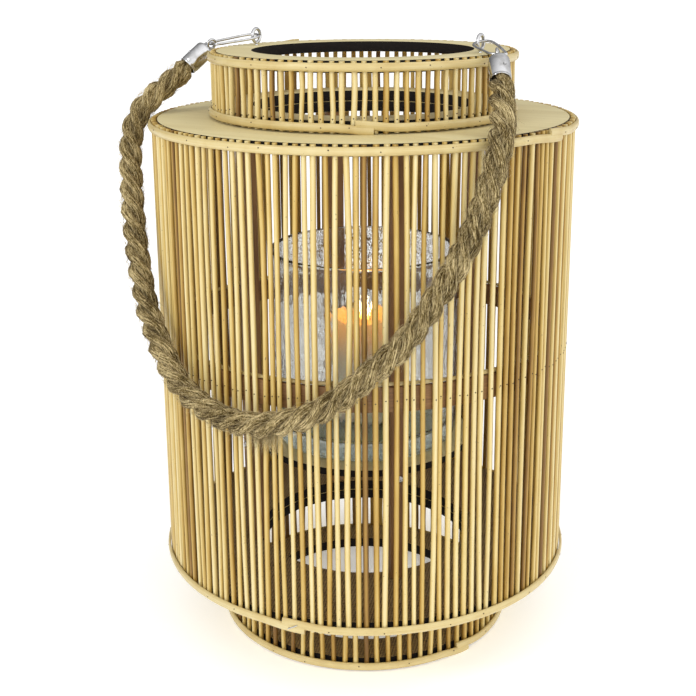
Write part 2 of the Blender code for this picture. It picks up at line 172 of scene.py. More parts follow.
# %% The socket wrapper and the finish
class Wire:
    """One output socket, which Python's arithmetic can work on."""

    def __init__(self, finish, socket):
        self.finish = finish
        self.socket = socket

    def maths(self, operation, *values):
        names = {index: value for index, value in enumerate(values)}
        return self.finish.node("Math", names, operation=operation)

    def __add__(self, other):
        return self.maths("ADD", self, other)

    def __radd__(self, other):
        return self.maths("ADD", other, self)

    def __sub__(self, other):
        return self.maths("SUBTRACT", self, other)

    def __rsub__(self, other):
        return self.maths("SUBTRACT", other, self)

    def __mul__(self, other):
        return self.maths("MULTIPLY", self, other)

    def __rmul__(self, other):
        return self.maths("MULTIPLY", other, self)

    def __truediv__(self, other):
        return self.maths("DIVIDE", self, other)

    def __pow__(self, other):
        return self.maths("POWER", self, other)

    def sine(self):
        return self.maths("SINE", self)

    def absolute(self):
        return self.maths("ABSOLUTE", self)

    def step(self, low, high):
        """A smooth step from 0 at low to 1 at high."""
        values = {"Value": self, "From Min": low, "From Max": high}
        return self.finish.node("MapRange", values, interpolation_type="SMOOTHSTEP")


class Finish:
    """A material built from expressions."""

    def __init__(self, name):
        self.material = bpy.data.materials.new(name)
        self.material.use_nodes = True
        self.tree = self.material.node_tree
        self.tree.nodes.clear()

    def node(self, kind, sockets=None, output=0, stops=None, **settings):
        """Adds a node: first its settings, then its ramp's stops, then its sockets."""
        made = self.tree.nodes.new("ShaderNode" + kind)
        for name, value in settings.items():
            setattr(made, name, value)
        for index, (at, colour) in enumerate(stops or ()):
            ramp = made.color_ramp.elements
            stop = ramp[index] if index < len(ramp) else ramp.new(at)
            stop.position = at
            stop.color = (*colour, 1)
        for name, value in (sockets or {}).items():
            if isinstance(value, Wire):
                self.tree.links.new(value.socket, made.inputs[name])
            else:
                made.inputs[name].default_value = value
        return Wire(self, made.outputs[output] if made.outputs else None)

    def place(self, size=(1, 1, 1), turn=(0, 0, 0), source=None):
        """Object coordinates, or a piece's own grain, counted in patches of the size in mm."""
        if source:
            at = self.node("Attribute", output="Vector", attribute_name=source)
        else:
            at = self.node("TexCoord", output="Object")
        scale = [1 / (side * MM) for side in size]
        sockets = {"Vector": at, "Scale": scale, "Rotation": turn}
        return self.node("Mapping", sockets)

    def cloud(self, at, detail=3.0, rough=0.5):
        """Noise about 0.5, with lumps as large as the patches of its coordinates."""
        sockets = {"Vector": at, "Scale": 1.0, "Detail": detail, "Roughness": rough}
        return self.node("TexNoise", sockets)

    def axes(self, at):
        """The x, y and z of a vector."""
        split = self.node("SeparateXYZ", {"Vector": at})
        outputs = split.socket.node.outputs
        return [Wire(self, output) for output in outputs]

    def mix(self, share, first, second, blend="MIX"):
        """Two colours mixed by a share of the second."""
        sockets = {0: share}
        for index, colour in ((6, first), (7, second)):
            sockets[index] = colour if isinstance(colour, Wire) else (*colour, 1)
        return self.node("Mix", sockets, output=2, data_type="RGBA", blend_type=blend)

    def ramp(self, value, *stops):
        """Colours along a value."""
        return self.node("ValToRGB", {"Fac": value}, stops=stops)

    def bump(self, height, depth, strength=1.0):
        """Relief of this depth in mm from a height between 0 and 1."""
        sockets = {"Height": height, "Distance": depth * MM, "Strength": strength}
        return self.node("Bump", sockets)

    def shader(self, **sockets):
        """The finish's Principled shader; names are the sockets' own, with _ for a space."""
        named = {}
        for name, value in sockets.items():
            plain = name.replace("_", " ").title().replace("Ior", "IOR")
            if isinstance(value, tuple) and len(value) == 3 and "Color" in plain:
                value = (*value, 1)
            named[plain] = value
        surface = self.node("BsdfPrincipled", named)
        self.node("OutputMaterial", {"Surface": surface})
        return self.material


# %% [markdown]
# ## The rope's route
#
# The handle is one length of jute rope. Both its ends sit in chrome ferrules, and between them
# it hangs against the front of the lantern. Its route is symmetric, so it is kept as half a list
# of points: degrees round from the front, distance from the axis, height. A smooth curve through
# the points gives the centreline. It could be simulated as a hanging chain, but thick rope is
# stiff enough to keep a set, so a route given point by point is the better guide.

# %% Route of the rope
EYE = Vector((86, 0, 413)) * MM
LINK_END = Vector((108.1, -23.3, 407.9)) * MM
FERRULE_DIR = Vector((0.382, -0.694, -0.611)).normalized()
ROPE_R = 8 * MM
ROPE_NECK_R = 5.7 * MM
ROPE_IN_FERRULE = 11 * MM
FERRULE_END = 23.6 * MM
ROPE_FULL = 28.5 * MM
ROPE_FREE = 33 * MM
CURVE_PARTS = 24  # pieces of a smooth curve between two of its given points
ROPE_HALF = (
    (0, 155 * MM, 192.5 * MM),
    (18, 155 * MM, 204 * MM),
    (34, 155 * MM, 238 * MM),
    (38.6, 155.2 * MM, 250.3 * MM),
    (51.9, 157.3 * MM, 306.3 * MM),
    (60.1, 154.2 * MM, 360.8 * MM),
)


def mirrored(point, side):
    """A point of the right-hand fittings, moved to the side that is asked for."""
    return Vector((side * point.x, point.y, point.z))


def smooth_line(points, count, closed=False):
    """Evenly spaced points along a centripetal Catmull-Rom curve through the given ones."""
    if closed:
        guide = [points[-1], *points, points[0], points[1]]
    else:
        guide = [2 * points[0] - points[1], *points, 2 * points[-1] - points[-2]]
    dense = []
    for before, start, end, after in zip(guide, guide[1:], guide[2:], guide[3:]):
        t1 = math.sqrt((start - before).length)
        t2 = t1 + math.sqrt((end - start).length)
        t3 = t2 + math.sqrt((after - end).length)
        for step in range(CURVE_PARTS):
            t = t1 + (t2 - t1) * step / CURVE_PARTS
            a1 = before.lerp(start, t / t1)
            a2 = start.lerp(end, (t - t1) / (t2 - t1))
            a3 = end.lerp(after, (t - t2) / (t3 - t2))
            b1 = a1.lerp(a2, t / t2)
            b2 = a2.lerp(a3, (t - t1) / (t3 - t1))
            dense.append(b1.lerp(b2, (t - t1) / (t2 - t1)))
    dense.append(guide[-2])
    reach = [0.0]
    for start, end in zip(dense, dense[1:]):
        reach.append(reach[-1] + (end - start).length)
    even = []
    spans = count if closed else count - 1
    index = 0
    for step in range(count):
        target = reach[-1] * step / spans
        while index < len(dense) - 2 and reach[index + 1] < target:
            index += 1
        span = max(reach[index + 1] - reach[index], 1e-9)
        even.append(dense[index].lerp(dense[index + 1], (target - reach[index]) / span))
    return even


def rope_route():
    """The rope's own points, from its end in the left ferrule to its end in the right one."""
    right = []
    for degrees, radius, height in ROPE_HALF:
        turned = math.radians(degrees)
        right.append(Vector((radius * math.sin(turned), -radius * math.cos(turned), height)))
    right.append(LINK_END + ROPE_FREE * FERRULE_DIR)
    right.append(LINK_END + ROPE_IN_FERRULE * FERRULE_DIR)
    left = [mirrored(point, -1) for point in reversed(right[1:])]
    return left + right


def line_length(points):
    return sum((end - start).length for start, end in zip(points, points[1:]))


ROPE_STEPS = 460
rope_line = smooth_line(rope_route(), ROPE_STEPS + 1)
ROPE_L = line_length(rope_line)
print("rope", round(ROPE_L / MM), "mm long")

# %% [markdown]
# ## The jute rope
#
# A laid rope is three strands twisted round each other, and each strand is a bundle of yarns
# twisted the other way, so that the yarns end up running along the rope. A plain tube with a
# striped bump would show a smooth outline, so each strand is its own rolled grid whose middle
# winds round the route. Small grooves between the yarns and a slow unevenness are moved into
# the mesh as well; the single fibres are left to the finish and to loose hairs.

# %% Frames along a line
def line_frames(points):
    """A forward, a right and an up direction at each point, which turn as little as they can."""
    frames = []
    right = None
    for index, point in enumerate(points):
        before = points[max(index - 1, 0)]
        after = points[min(index + 1, len(points) - 1)]
        forward = (after - before).normalized()
        if right is None:
            right = forward.orthogonal()
        right = (right - forward * right.dot(forward)).normalized()
        frames.append((forward, right, forward.cross(right)))
    return frames


ROPE_PITCH = 44 * MM
STRAND_R = 0.50 * ROPE_R  # pressed together, so a little more than three round strands would be
YARNS = 7
YARN_TURN = 0.7  # how far the yarns untwist for each turn of the strands
YARN_GROOVE = 0.10  # this and the next three are shares of a strand's radius
BROAD_BUMPS = 0.10
ROUGH_BUMPS = 0.13
STRAND_FILL = 0.97
BROAD_LENGTH = 9 * MM
ROUGH_LENGTH = 3 * MM
NEXT_NOISE = 20  # how far apart in the noise the three strands are
rope_frames = line_frames(rope_line)


def rope_swell(distance):
    """How full the rope is at a distance from its nearer end: pinched inside the ferrule."""
    grip = FERRULE_END - ROPE_IN_FERRULE
    free = ROPE_FULL - ROPE_IN_FERRULE
    share = min(max((distance - grip) / (free - grip), 0), 1)
    share = share * share * (3 - 2 * share)
    return (ROPE_NECK_R + (ROPE_R - ROPE_NECK_R) * share) / ROPE_R


def strand_place(strand):
    """Where the grid of one strand goes."""

    def place(v, u):
        index = round(u * ROPE_STEPS)
        along = u * ROPE_L
        forward, right, up = rope_frames[index]
        swell = rope_swell(min(along, ROPE_L - along))
        lay = math.tau * (strand / 3 - along / ROPE_PITCH)
        out = right * math.cos(lay) + up * math.sin(lay)
        side = forward.cross(out)
        middle = rope_line[index] + out * (ROPE_R - STRAND_R) * swell
        angle = math.tau * v
        turned = angle + YARN_TURN * lay
        groove = YARN_GROOVE * (abs(math.cos(YARNS * turned / 2)) - 0.5)
        start = NEXT_NOISE * strand
        x, y = math.cos(angle), math.sin(angle)
        broad = noise.noise(Vector((x, y, along / BROAD_LENGTH + start)))
        rough = noise.noise(Vector((3 * x, 3 * y, along / ROUGH_LENGTH + start)))
        uneven = BROAD_BUMPS * broad + ROUGH_BUMPS * rough
        radius = STRAND_R * swell * (STRAND_FILL + groove + uneven)
        offset = (out * x + side * y) * radius
        fibre = Vector((math.cos(turned), math.sin(turned), 0)) * STRAND_R
        fibre.z = along + 3 * strand * ROPE_L
        return middle + offset, fibre

    return place


STRAND_SIDES = 21
rope_shape = bmesh.new()
for strand in range(3):
    wrap(STRAND_SIDES, ROPE_STEPS, strand_place(strand), rope_shape)
print("rope strands have", len(rope_shape.faces), "faces")

# %% [markdown]
# ## The finish of jute
#
# Jute is dull and hairy: pale fibres over brown ones, with dark lines where yarns part. Most of
# the colour comes from noise that is stretched along each strand's own grain, so it bends with
# the rope; a little comes from upright noise, for fibres that stray, and from large patches.
# Sheen stands for the fuzz that is too fine to model.

# %% Jute
def jute(name, lighter=0.0):
    """Dull brown fibre; lighter moves its tones towards the pale end."""
    finish = Finish(name)
    fibres = finish.place((0.45, 0.45, 5), source=GRAIN)
    bundles = finish.place((1.0, 1.0, 9), source=GRAIN)
    fine = finish.cloud(fibres, detail=4, rough=0.75)
    broad = finish.cloud(bundles, detail=2)
    patchy = finish.cloud(finish.place((20, 20, 20)), detail=3)
    strayed = finish.cloud(finish.place((0.8, 0.8, 2.5)), detail=4, rough=0.8)
    tone = fine * 0.5 + broad * 0.2 + strayed * 0.3 + (patchy - 0.5) * 0.14 + lighter
    colour = finish.ramp(
        tone,
        (0.42, (0.028, 0.016, 0.004)),
        (0.475, (0.130, 0.088, 0.030)),
        (0.52, (0.330, 0.245, 0.100)),
        (0.57, (0.750, 0.610, 0.330)),
    )
    relief = finish.bump(fine * 0.75 + broad * 0.25, 1.2)
    return finish.shader(
        base_color=colour, roughness=0.92, normal=relief, sheen_weight=0.05,
        sheen_roughness=0.5, specular_ior_level=0.1,
    )


jute_finish = jute("jute")
hair_finish = jute("loose_jute", lighter=0.05)
rope = finish_piece(
    "rope", rope_shape, "handle", ["rope_handle"], [jute_finish], sharp=70
)

# %% [markdown]
# ## Loose hairs
#
# What makes jute look like jute is its outline: hundreds of fibres stand off the rope. Particle
# hair would not export, so each hair is a thin three-sided spike. One spike is made once, and a
# loop bends copies of it, each starting a little inside the rope so that none floats.

# %% Hairs on the rope
HAIR_R = 0.12 * MM
HAIRS = 4200
HAIR_LENGTH = (2.5 * MM, 7 * MM)
HAIR_ROOT = (0.4 * MM, 1.6 * MM)  # how deep in the rope a hair starts
LONG_HAIRS = 0.12  # the share of long ones, and how many times longer they are
LONG_TIMES = 1.9
TUFT_HAIRS = 170
TUFT_LENGTH = (6 * MM, 15 * MM)
TUFT_AT = 0.53  # as a share of the rope's length
TUFT_STEPS = 6
TUFT_ROOT = 5.5 * MM


def hair_seed():
    """A three-sided spike of length 1 along Z, with rings to bend at."""
    shape = bmesh.new()
    bmesh.ops.create_cone(
        shape,
        cap_ends=True,
        segments=3,
        radius1=1,
        radius2=0.25,
        depth=1,
        matrix=Matrix.Translation((0, 0, 0.5)),
    )
    for height in (0.33, 0.66):
        geometry = shape.verts[:] + shape.edges[:] + shape.faces[:]
        bmesh.ops.bisect_plane(
            shape, geom=geometry, plane_co=(0, 0, height), plane_no=(0, 0, 1)
        )
    mesh = bpy.data.meshes.new("hair_seed")
    shape.to_mesh(mesh)
    shape.free()
    return mesh


def add_hair(shape, seed, root, first, last, length, radius, phase):
    """A hair from a root that sets off along one direction and ends along another."""
    layer = shape.verts.layers.float_vector[GRAIN]
    start = len(shape.verts)
    shape.from_mesh(seed)
    shape.verts.ensure_lookup_table()
    side = first.cross(last)
    if side.length < 0.01:
        side = first.orthogonal()
    side.normalize()
    for corner in shape.verts[start:]:
        t = corner.co.z
        local = Vector((corner.co.x, corner.co.y))
        bent = first * t + (last - first) * (t * t / 2)
        forward = first.lerp(last, t).normalized()
        other = forward.cross(side).normalized()
        corner.co = root + bent * length + (side * local.x + other * local.y) * radius
        corner[layer] = Vector((phase, local.x * radius, t * length))


def make_hairs():
    """Short hairs all over the rope and a frayed tuft under its lowest part."""
    rng = random.Random(11)
    seed = hair_seed()
    shape = bmesh.new()
    shape.verts.layers.float_vector.new(GRAIN)
    margin = ROPE_FULL - ROPE_IN_FERRULE
    for number in range(HAIRS):
        along = rng.uniform(margin, ROPE_L - margin)
        index = round(along / ROPE_L * ROPE_STEPS)
        forward, right, up = rope_frames[index]
        angle = rng.uniform(0, math.tau)
        out = right * math.cos(angle) + up * math.sin(angle)
        root = rope_line[index] + out * (ROPE_R - rng.uniform(*HAIR_ROOT))
        way = rng.choice((-1, 1))
        slant = rng.uniform(0.05, 0.6)
        side = forward.cross(out) * rng.uniform(-0.6, 0.6)
        first = (forward * way + out * slant + side).normalized()
        curl = out * rng.uniform(-0.5, 0.8) + Vector((0, 0, rng.uniform(-0.6, 0.3)))
        last = (first + curl).normalized()
        length = rng.uniform(*HAIR_LENGTH)
        if rng.random() < LONG_HAIRS:
            length *= LONG_TIMES
        add_hair(shape, seed, root, first, last, length, HAIR_R, number)
    tuft_at = round(ROPE_STEPS * TUFT_AT)
    for number in range(TUFT_HAIRS):
        index = tuft_at + rng.randint(-TUFT_STEPS, TUFT_STEPS)
        forward = rope_frames[index][0]
        spread = Vector((rng.gauss(0, 0.45), rng.gauss(-0.1, 0.25), -1)).normalized()
        root = rope_line[index] - Vector((0, 0, TUFT_ROOT)) + forward * rng.uniform(-3, 3) * MM
        last = (spread + Vector((rng.gauss(0, 0.3), rng.gauss(0, 0.2), 0))).normalized()
        length = rng.uniform(*TUFT_LENGTH)
        add_hair(shape, seed, root, spread, last, length, HAIR_R * 1.2, number)
    bpy.data.meshes.remove(seed)
    return shape


hairs = finish_piece(
    "rope_hairs", make_hairs(), "handle", (), [hair_finish], sharp=180
)
print("hairs have", len(hairs.data.polygons), "faces")

# %% [markdown]
# ## Chrome fittings
#
# At each end the rope is glued into a domed ferrule with a small set screw. The ferrule's ring
# hangs on a long wire link, and the link hangs in a screw eye on the collar. All of it is bright
# plated steel. The wire pieces are rolled grids along a line, and the ferrule is turned.

# %% Chrome
def chrome(name):
    """Bright plating, a little smeared and scratched; its darker patches are painted reflection as
    well as smears.
    """
    finish = Finish(name)
    smears_and_painted_reflection = finish.cloud(finish.place((7, 7, 7)), detail=2, rough=0.5)
    scratches = finish.cloud(finish.place((0.25, 0.25, 5)), detail=2)
    # The colour's darker patches are painted dark reflection as well as smears; the same noise
    # roughens the smears.
    colour = finish.mix(smears_and_painted_reflection.step(0.4, 0.7), (0.62, 0.62, 0.63), (0.44, 0.435, 0.43))
    rough = 0.05 + smears_and_painted_reflection * 0.10
    relief = finish.bump(scratches, 0.004, 0.3)
    return finish.shader(base_color=colour, metallic=1.0, roughness=rough, normal=relief)


chrome_finish = chrome("chrome")
print("chrome finish mixed")

# %% Wire along a line
def wire(points, radius, sides=10, closed=False, shape=None, taper=None):
    """Round wire along points; taper(u) scales its radius."""
    line = points + points[:1] if closed else points
    steps = len(line) - 1
    frames = line_frames(line)
    if closed:
        frames[0] = frames[-1] = (
            (points[1] - points[-1]).normalized(), frames[0][1], frames[0][2]
        )

    def place(v, u):
        index = round(u * steps)
        forward, right, up = frames[index]
        angle = math.tau * v
        size = radius * (taper(u) if taper else 1.0)
        offset = (right * math.cos(angle) + up * math.sin(angle)) * size
        return line[index] + offset, Vector((offset.length, v, u))

    return wrap(sides, steps, place, shape)


def circle_points(centre, first, second, radius, count, start=0.0, span=math.tau):
    """Points round a circle in the plane of two directions."""
    points = []
    for index in range(count):
        angle = start + span * index / count
        points.append(centre + (first * math.cos(angle) + second * math.sin(angle)) * radius)
    return points


# %% Screw eyes
EYE_RING_R = 4.7 * MM
EYE_WIRE_R = 1.15 * MM
RING_FROM = math.radians(-90)
RING_SPAN = math.radians(352)
RING_TIP = 0.97  # where along the ring its tip starts to thin, and how much it thins
RING_THINS = 0.25
THREAD_TURNS = 5
THREAD_DEPTH = 0.2
SHANK_STEPS = 60
X_AXIS = Vector((1, 0, 0))
Y_AXIS = Vector((0, 1, 0))
Z_AXIS = Vector((0, 0, 1))


def ring_tip(u):
    """The ring's wire thins at its very end."""
    return 1 - RING_THINS * max(0, u - RING_TIP) / (1 - RING_TIP)


def screw_thread(u):
    """The shank's wire thins and thickens once for every turn of its thread."""
    return 1 - THREAD_DEPTH * (1 - abs(math.sin(math.pi * THREAD_TURNS * u)))


def make_eye(side, label):
    """A screw eye: a threaded shank that runs into an almost closed ring."""
    centre = mirrored(EYE, side)
    node = "screw_eye_" + label
    ring = circle_points(centre, Y_AXIS, Z_AXIS, EYE_RING_R, 44, RING_FROM, RING_SPAN)
    shape = wire(ring, EYE_WIRE_R, 12, taper=ring_tip)
    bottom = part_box(node)[0].z
    top = centre.z - (EYE_RING_R - EYE_WIRE_R / 2)
    shank = []
    for index in range(SHANK_STEPS + 1):
        height = bottom + (top - bottom) * index / SHANK_STEPS
        shank.append(Vector((centre.x, centre.y, height)))
    wire(shank, EYE_WIRE_R, 12, shape=shape, taper=screw_thread)
    finish_piece("eye_" + label, shape, "root", [node], [chrome_finish])


for side, label in ((1, "right"), (-1, "left")):
    make_eye(side, label)

# %% Links
LINK_WIRE_R = 0.9 * MM
LINK_TIP_R = 6 * MM
LINK_TIP_FROM_EYE = 4.6 * MM
LINK_TIP_TURNS = (90, 135, 180, 225, 270)
LINK_BASE = 6.4 * MM
LINK_SQUARE = 0.8  # where the base's corners start, as a share of its half length
LINK_SPREAD = 1.05  # how far apart the two legs are at the shoulder, as such a share
LINK_SHOULDER = 6 * MM
LINK_ROLL = math.radians(10)


def make_link(side, label):
    """A long wire link: a round tip through the screw eye and a straight base at the ferrule."""
    along = (LINK_END - EYE).normalized()
    level = Vector((-along.y, along.x, 0)).normalized()
    across = level * math.cos(LINK_ROLL) + along.cross(level) * math.sin(LINK_ROLL)
    tip = EYE + along * LINK_TIP_FROM_EYE
    points = []
    for degrees in LINK_TIP_TURNS:
        turned = math.radians(degrees)
        points.append(tip + LINK_TIP_R * (math.cos(turned) * along + math.sin(turned) * across))
    base = Vector((LINK_BASE, 0, 0))
    shoulder = LINK_END - along * LINK_SHOULDER
    points.append(shoulder - LINK_SPREAD * base)
    for share in (-LINK_SQUARE, 0, LINK_SQUARE):
        points.append(LINK_END + share * base)
    points.append(shoulder + LINK_SPREAD * base)
    points = [mirrored(point, side) for point in points]
    if side < 0:
        points.reverse()
    line = smooth_line(points, 120, closed=True)
    shape = wire(line, LINK_WIRE_R, 10, closed=True)
    node = "link_" + label
    finish_piece("wire_" + node, shape, "links", [node], [chrome_finish])


for side, label in ((1, "right"), (-1, "left")):
    make_link(side, label)

# %% Ferrules
FERRULE_R = 6.7 * MM
FERRULE_BORE_R = 6.1 * MM
FERRULE_TOP = 3.4 * MM
FERRULE_WALL_TOP = 5.6 * MM
LUG_RING_R = 3.2 * MM
LUG_WIRE_R = 0.95 * MM
FERRULE_DOME = 0.55  # the dome's height as a share of the ferrule's radius
DOME_STEPS = 8
FERRULE_RIM = (  # a rolled rim and the neck above it, in mm out from the wall and up
    (-0.15, 0), (0, 0.2), (0, 1.1), (-0.25, 1.4), (-0.25, 1.9), (0, 2.2),
)
SET_SCREW_AT = 15.5 * MM
SET_SCREW_R = 1.1 * MM
SET_SCREW_L = 1.3 * MM
SOCKET_WALL = 0.45 * MM
SOCKET_D = 0.5 * MM
SCREW_SIDE = {1: math.radians(-50), -1: math.radians(-130)}


def ferrule_place(side):
    """The ferrule's own frame: origin on the link, -Z along the rope, X near the world's X."""
    z_axis = -mirrored(FERRULE_DIR, side)
    x_axis = (X_AXIS - z_axis * z_axis.x).normalized()
    y_axis = z_axis.cross(x_axis)
    turned = Matrix((x_axis, y_axis, z_axis)).transposed().to_4x4()
    return Matrix.Translation(mirrored(LINK_END, side)) @ turned


def make_ferrule(side, label):
    """A domed cap with a rolled rim, and the small ring on top of it."""
    ceiling = -FERRULE_TOP - FERRULE_WALL_TOP
    outline = [(0, ceiling), (FERRULE_BORE_R, ceiling), (FERRULE_BORE_R, -FERRULE_END)]
    for out, up in FERRULE_RIM:
        outline.append((FERRULE_R + out * MM, -FERRULE_END + up * MM))
    dome = FERRULE_R * FERRULE_DOME
    for step in range(DOME_STEPS + 1):
        angle = math.pi / 2 * step / DOME_STEPS
        radius = FERRULE_R * math.cos(angle)
        outline.append((radius, -FERRULE_TOP - dome + dome * math.sin(angle)))
    shape = turn(outline, 40)
    lug = circle_points(Vector(), Y_AXIS, Z_AXIS, LUG_RING_R, 32)
    shape.verts.layers.float_vector.new(GRAIN)
    wire(lug, LUG_WIRE_R, 10, closed=True, shape=shape)
    bmesh.ops.transform(shape, verts=shape.verts, matrix=ferrule_place(side))
    finish_piece(
        "cap_" + label, shape, "handle", ["ferrule_" + label], [chrome_finish]
    )


LIE_DOWN = Matrix.Rotation(math.pi / 2, 4, "Y")  # lays an upright piece along X, facing out


def make_set_screw(side, label):
    """A headless screw with a sunk socket, in the ferrule's wall."""
    shape = bmesh.new()
    bmesh.ops.create_cone(
        shape, cap_ends=True, segments=16, radius1=SET_SCREW_R, radius2=SET_SCREW_R,
        depth=SET_SCREW_L, matrix=Matrix.Translation((0, 0, FERRULE_R)),
    )
    crown = [face for face in shape.faces if face.normal.z > 0.9]
    bmesh.ops.inset_region(shape, faces=crown, thickness=SOCKET_WALL)
    bmesh.ops.translate(shape, verts=crown[0].verts, vec=(0, 0, -SOCKET_D))
    seat = ferrule_place(side) @ Matrix.Translation((0, 0, -SET_SCREW_AT))
    seat = seat @ Matrix.Rotation(SCREW_SIDE[side], 4, "Z") @ LIE_DOWN
    bmesh.ops.transform(shape, verts=shape.verts, matrix=seat)
    finish_piece(
        "grub_" + label, shape, "handle", ["set_screw_" + label],
        [chrome_finish], sharp=30,
    )


for side, label in ((1, "right"), (-1, "left")):
    make_ferrule(side, label)
    make_set_screw(side, label)
print("chrome fittings made")

# %% [markdown]
# ## Six annular plates
#
# The lantern's cages are nailed round plates of thin plywood with a hole in the middle. Their
# faces are pale veneer and their edges are painted black, which shows as small black squares
# between the rods. The foot's and the body's lower plates have woven matting on top. A plate
# could be a disc with a Boolean hole, but turning a four-cornered outline gives clean rings of
# faces, and the edges can then be eased with a bevel.

# %% Veneer, black edge paint and woven matting
def veneer(name):
    """Pale veneer with a fine grain, short pores and a few dark specks."""
    finish = Finish(name)
    grain = finish.cloud(finish.place((70, 1.6, 6)), detail=5, rough=0.6)
    broad = finish.cloud(finish.place((180, 14, 40)), detail=2)
    pores = finish.cloud(finish.place((9, 0.35, 2)), detail=2)
    speck = finish.cloud(finish.place((1.6, 1.6, 1.6)), detail=1).step(0.76, 0.80)
    tone = grain * 0.55 + broad * 0.45
    colour = finish.ramp(
        tone,
        (0.30, (0.60, 0.49, 0.23)),
        (0.50, (0.69, 0.59, 0.31)),
        (0.70, (0.76, 0.67, 0.39)),
    )
    colour = finish.mix(pores.step(0.62, 0.8) * 0.25, colour, (0.42, 0.31, 0.15))
    colour = finish.mix(speck * 0.8, colour, (0.10, 0.06, 0.03))
    relief = finish.bump(grain * 0.6 + pores * 0.4, 0.06)
    return finish.shader(
        base_color=colour, roughness=0.52 + grain * 0.12, normal=relief,
        coat_weight=0.12, coat_roughness=0.35,
    )


def edge_paint(name):
    """Matt black paint, brushed on and worn through here and there."""
    finish = Finish(name)
    brush = finish.cloud(finish.place((6, 6, 0.5)), detail=4, rough=0.6)
    worn = finish.cloud(finish.place((1.2, 1.2, 1.2)), detail=3).step(0.68, 0.78)
    colour = finish.mix(brush, (0.006, 0.005, 0.005), (0.022, 0.018, 0.015))
    colour = finish.mix(worn * 0.5, colour, (0.16, 0.11, 0.06))
    return finish.shader(
        base_color=colour, roughness=0.7 + brush * 0.2, normal=finish.bump(brush, 0.05),
        specular_ior_level=0.1,
    )


def matting(name):
    """Fine basket weave: strips that go over and under each other, two millimetres apart, with
    painted shade at each strip's edges.
    """
    finish = Finish(name)
    at = finish.place((1.9, 1.9, 1.9), turn=(0, 0, math.radians(-18)))
    x, y, _ = finish.axes(at)
    over = finish.node("TexChecker", {"Vector": at, "Scale": 1.0}, output=1)
    ridge_x = (x * math.pi).sine().absolute()
    ridge_y = (y * math.pi).sine().absolute()
    weave = over * ridge_x + (1 - over) * ridge_y
    stain = finish.cloud(finish.place((14, 14, 14)), detail=3)
    # Each strip is darker towards its edges, where it passes under the next: painted shade.
    tone = weave * 0.75 + stain * 0.35
    colour = finish.ramp(
        tone,
        (0.15, (0.05, 0.028, 0.010)),
        (0.55, (0.22, 0.14, 0.055)),
        (0.95, (0.40, 0.28, 0.12)),
    )
    return finish.shader(base_color=colour, roughness=0.7, normal=finish.bump(weave, 0.5))


veneer_finish = veneer("veneer")
edge_finish = edge_paint("edge_paint")
matting_finish = matting("matting")

# %% Plates
HOLE_R = 74.5 * MM
ROUND = 160  # steps of every large ring
SHARP_EDGE = math.radians(60)
PLATE_EASE = 0.35 * MM


def ease_edges(shape, width, segments=2):
    """Rounds every edge between faces that meet at a sharp angle."""
    sharp = [edge for edge in shape.edges if edge.calc_face_angle(0) > SHARP_EDGE]
    bmesh.ops.bevel(
        shape, geom=sharp, offset=width, offset_type="OFFSET", segments=segments,
        profile=0.5, material=-1, affect="EDGES",
    )


def make_plate(name, upper_finish):
    """A plate with eased edges: 0 is its veneer, 1 its painted edge, 2 its upper face."""
    node = name + "_plate"
    low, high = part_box(node)
    outline = ((high.y, high.z), (high.y, low.z), (HOLE_R, low.z), (HOLE_R, high.z))
    shape = turn(outline, ROUND, closed=True)
    for face in shape.faces:
        flat = abs(face.normal.z) > 0.5
        face.material_index = 0 if flat else 1
        if face.normal.z > 0.5:
            face.material_index = 2
    ease_edges(shape, PLATE_EASE)
    finishes = [veneer_finish, edge_finish, upper_finish]
    finish_piece("disc_" + name, shape, "root", [node], finishes)


PLATES = (
    "foot_bottom", "foot_top", "body_bottom", "body_top", "collar_bottom", "collar_top",
)
MATTED = ("foot_bottom", "body_bottom")
for name in PLATES:
    make_plate(name, matting_finish if name in MATTED else veneer_finish)
print(len(PLATES), "plates made")

# %% [markdown]
# ## The rods
#
# About 330 sticks of rattan core stand round the plates. They are what the eye sees first, so
# no two may be alike: each has its own thickness, lean and bow, and its own tone from cream to
# honey. One eight-sided stick is made once and cut into rings. A loop adds copies of it to its
# panel and bends each copy's rings, and writes the stick's tone into an attribute that the finish
# reads, together with painted shade: each stick's sides and back are painted darker, and the
# foot's sticks darker still. Array modifiers would be lighter but would make every stick the same.

# %% Rattan core
STICK_TONE_AND_SHADE = "tone"


def rattan_core(name):
    """Peeled cane, from cream to brown by each stick's own tone and its painted shade."""
    finish = Finish(name)
    # The attribute holds each stick's own tone plus painted shade on its sides and back.
    own = finish.node("Attribute", output="Fac", attribute_name=STICK_TONE_AND_SHADE)
    fibres = finish.cloud(finish.place((0.35, 0.35, 22)), detail=4, rough=0.65)
    streaks = finish.cloud(finish.place((1.2, 1.2, 90)), detail=2)
    blotch = finish.cloud(finish.place((5, 5, 26)), detail=2)
    mark = finish.cloud(finish.place((1.1, 1.1, 1.5)), detail=1).step(0.74, 0.79)
    tone = own + (fibres - 0.5) * 0.22 + (streaks - 0.5) * 0.42 + (blotch - 0.5) * 0.30
    colour = finish.ramp(
        tone,
        (0.02, (0.76, 0.65, 0.35)),
        (0.26, (0.69, 0.54, 0.22)),
        (0.48, (0.57, 0.39, 0.10)),
        (0.72, (0.38, 0.215, 0.028)),
        (1.0, (0.17, 0.080, 0.006)),
    )
    colour = finish.mix(mark * 0.85, colour, (0.13, 0.07, 0.03))
    relief = finish.bump(fibres * 0.6 + streaks * 0.4, 0.10)
    return finish.shader(
        base_color=colour, roughness=0.42 + fibres * 0.2, normal=relief,
        coat_weight=0.18, coat_roughness=0.3,
    )


core_finish = rattan_core("rattan_core")
print("rattan finish mixed")

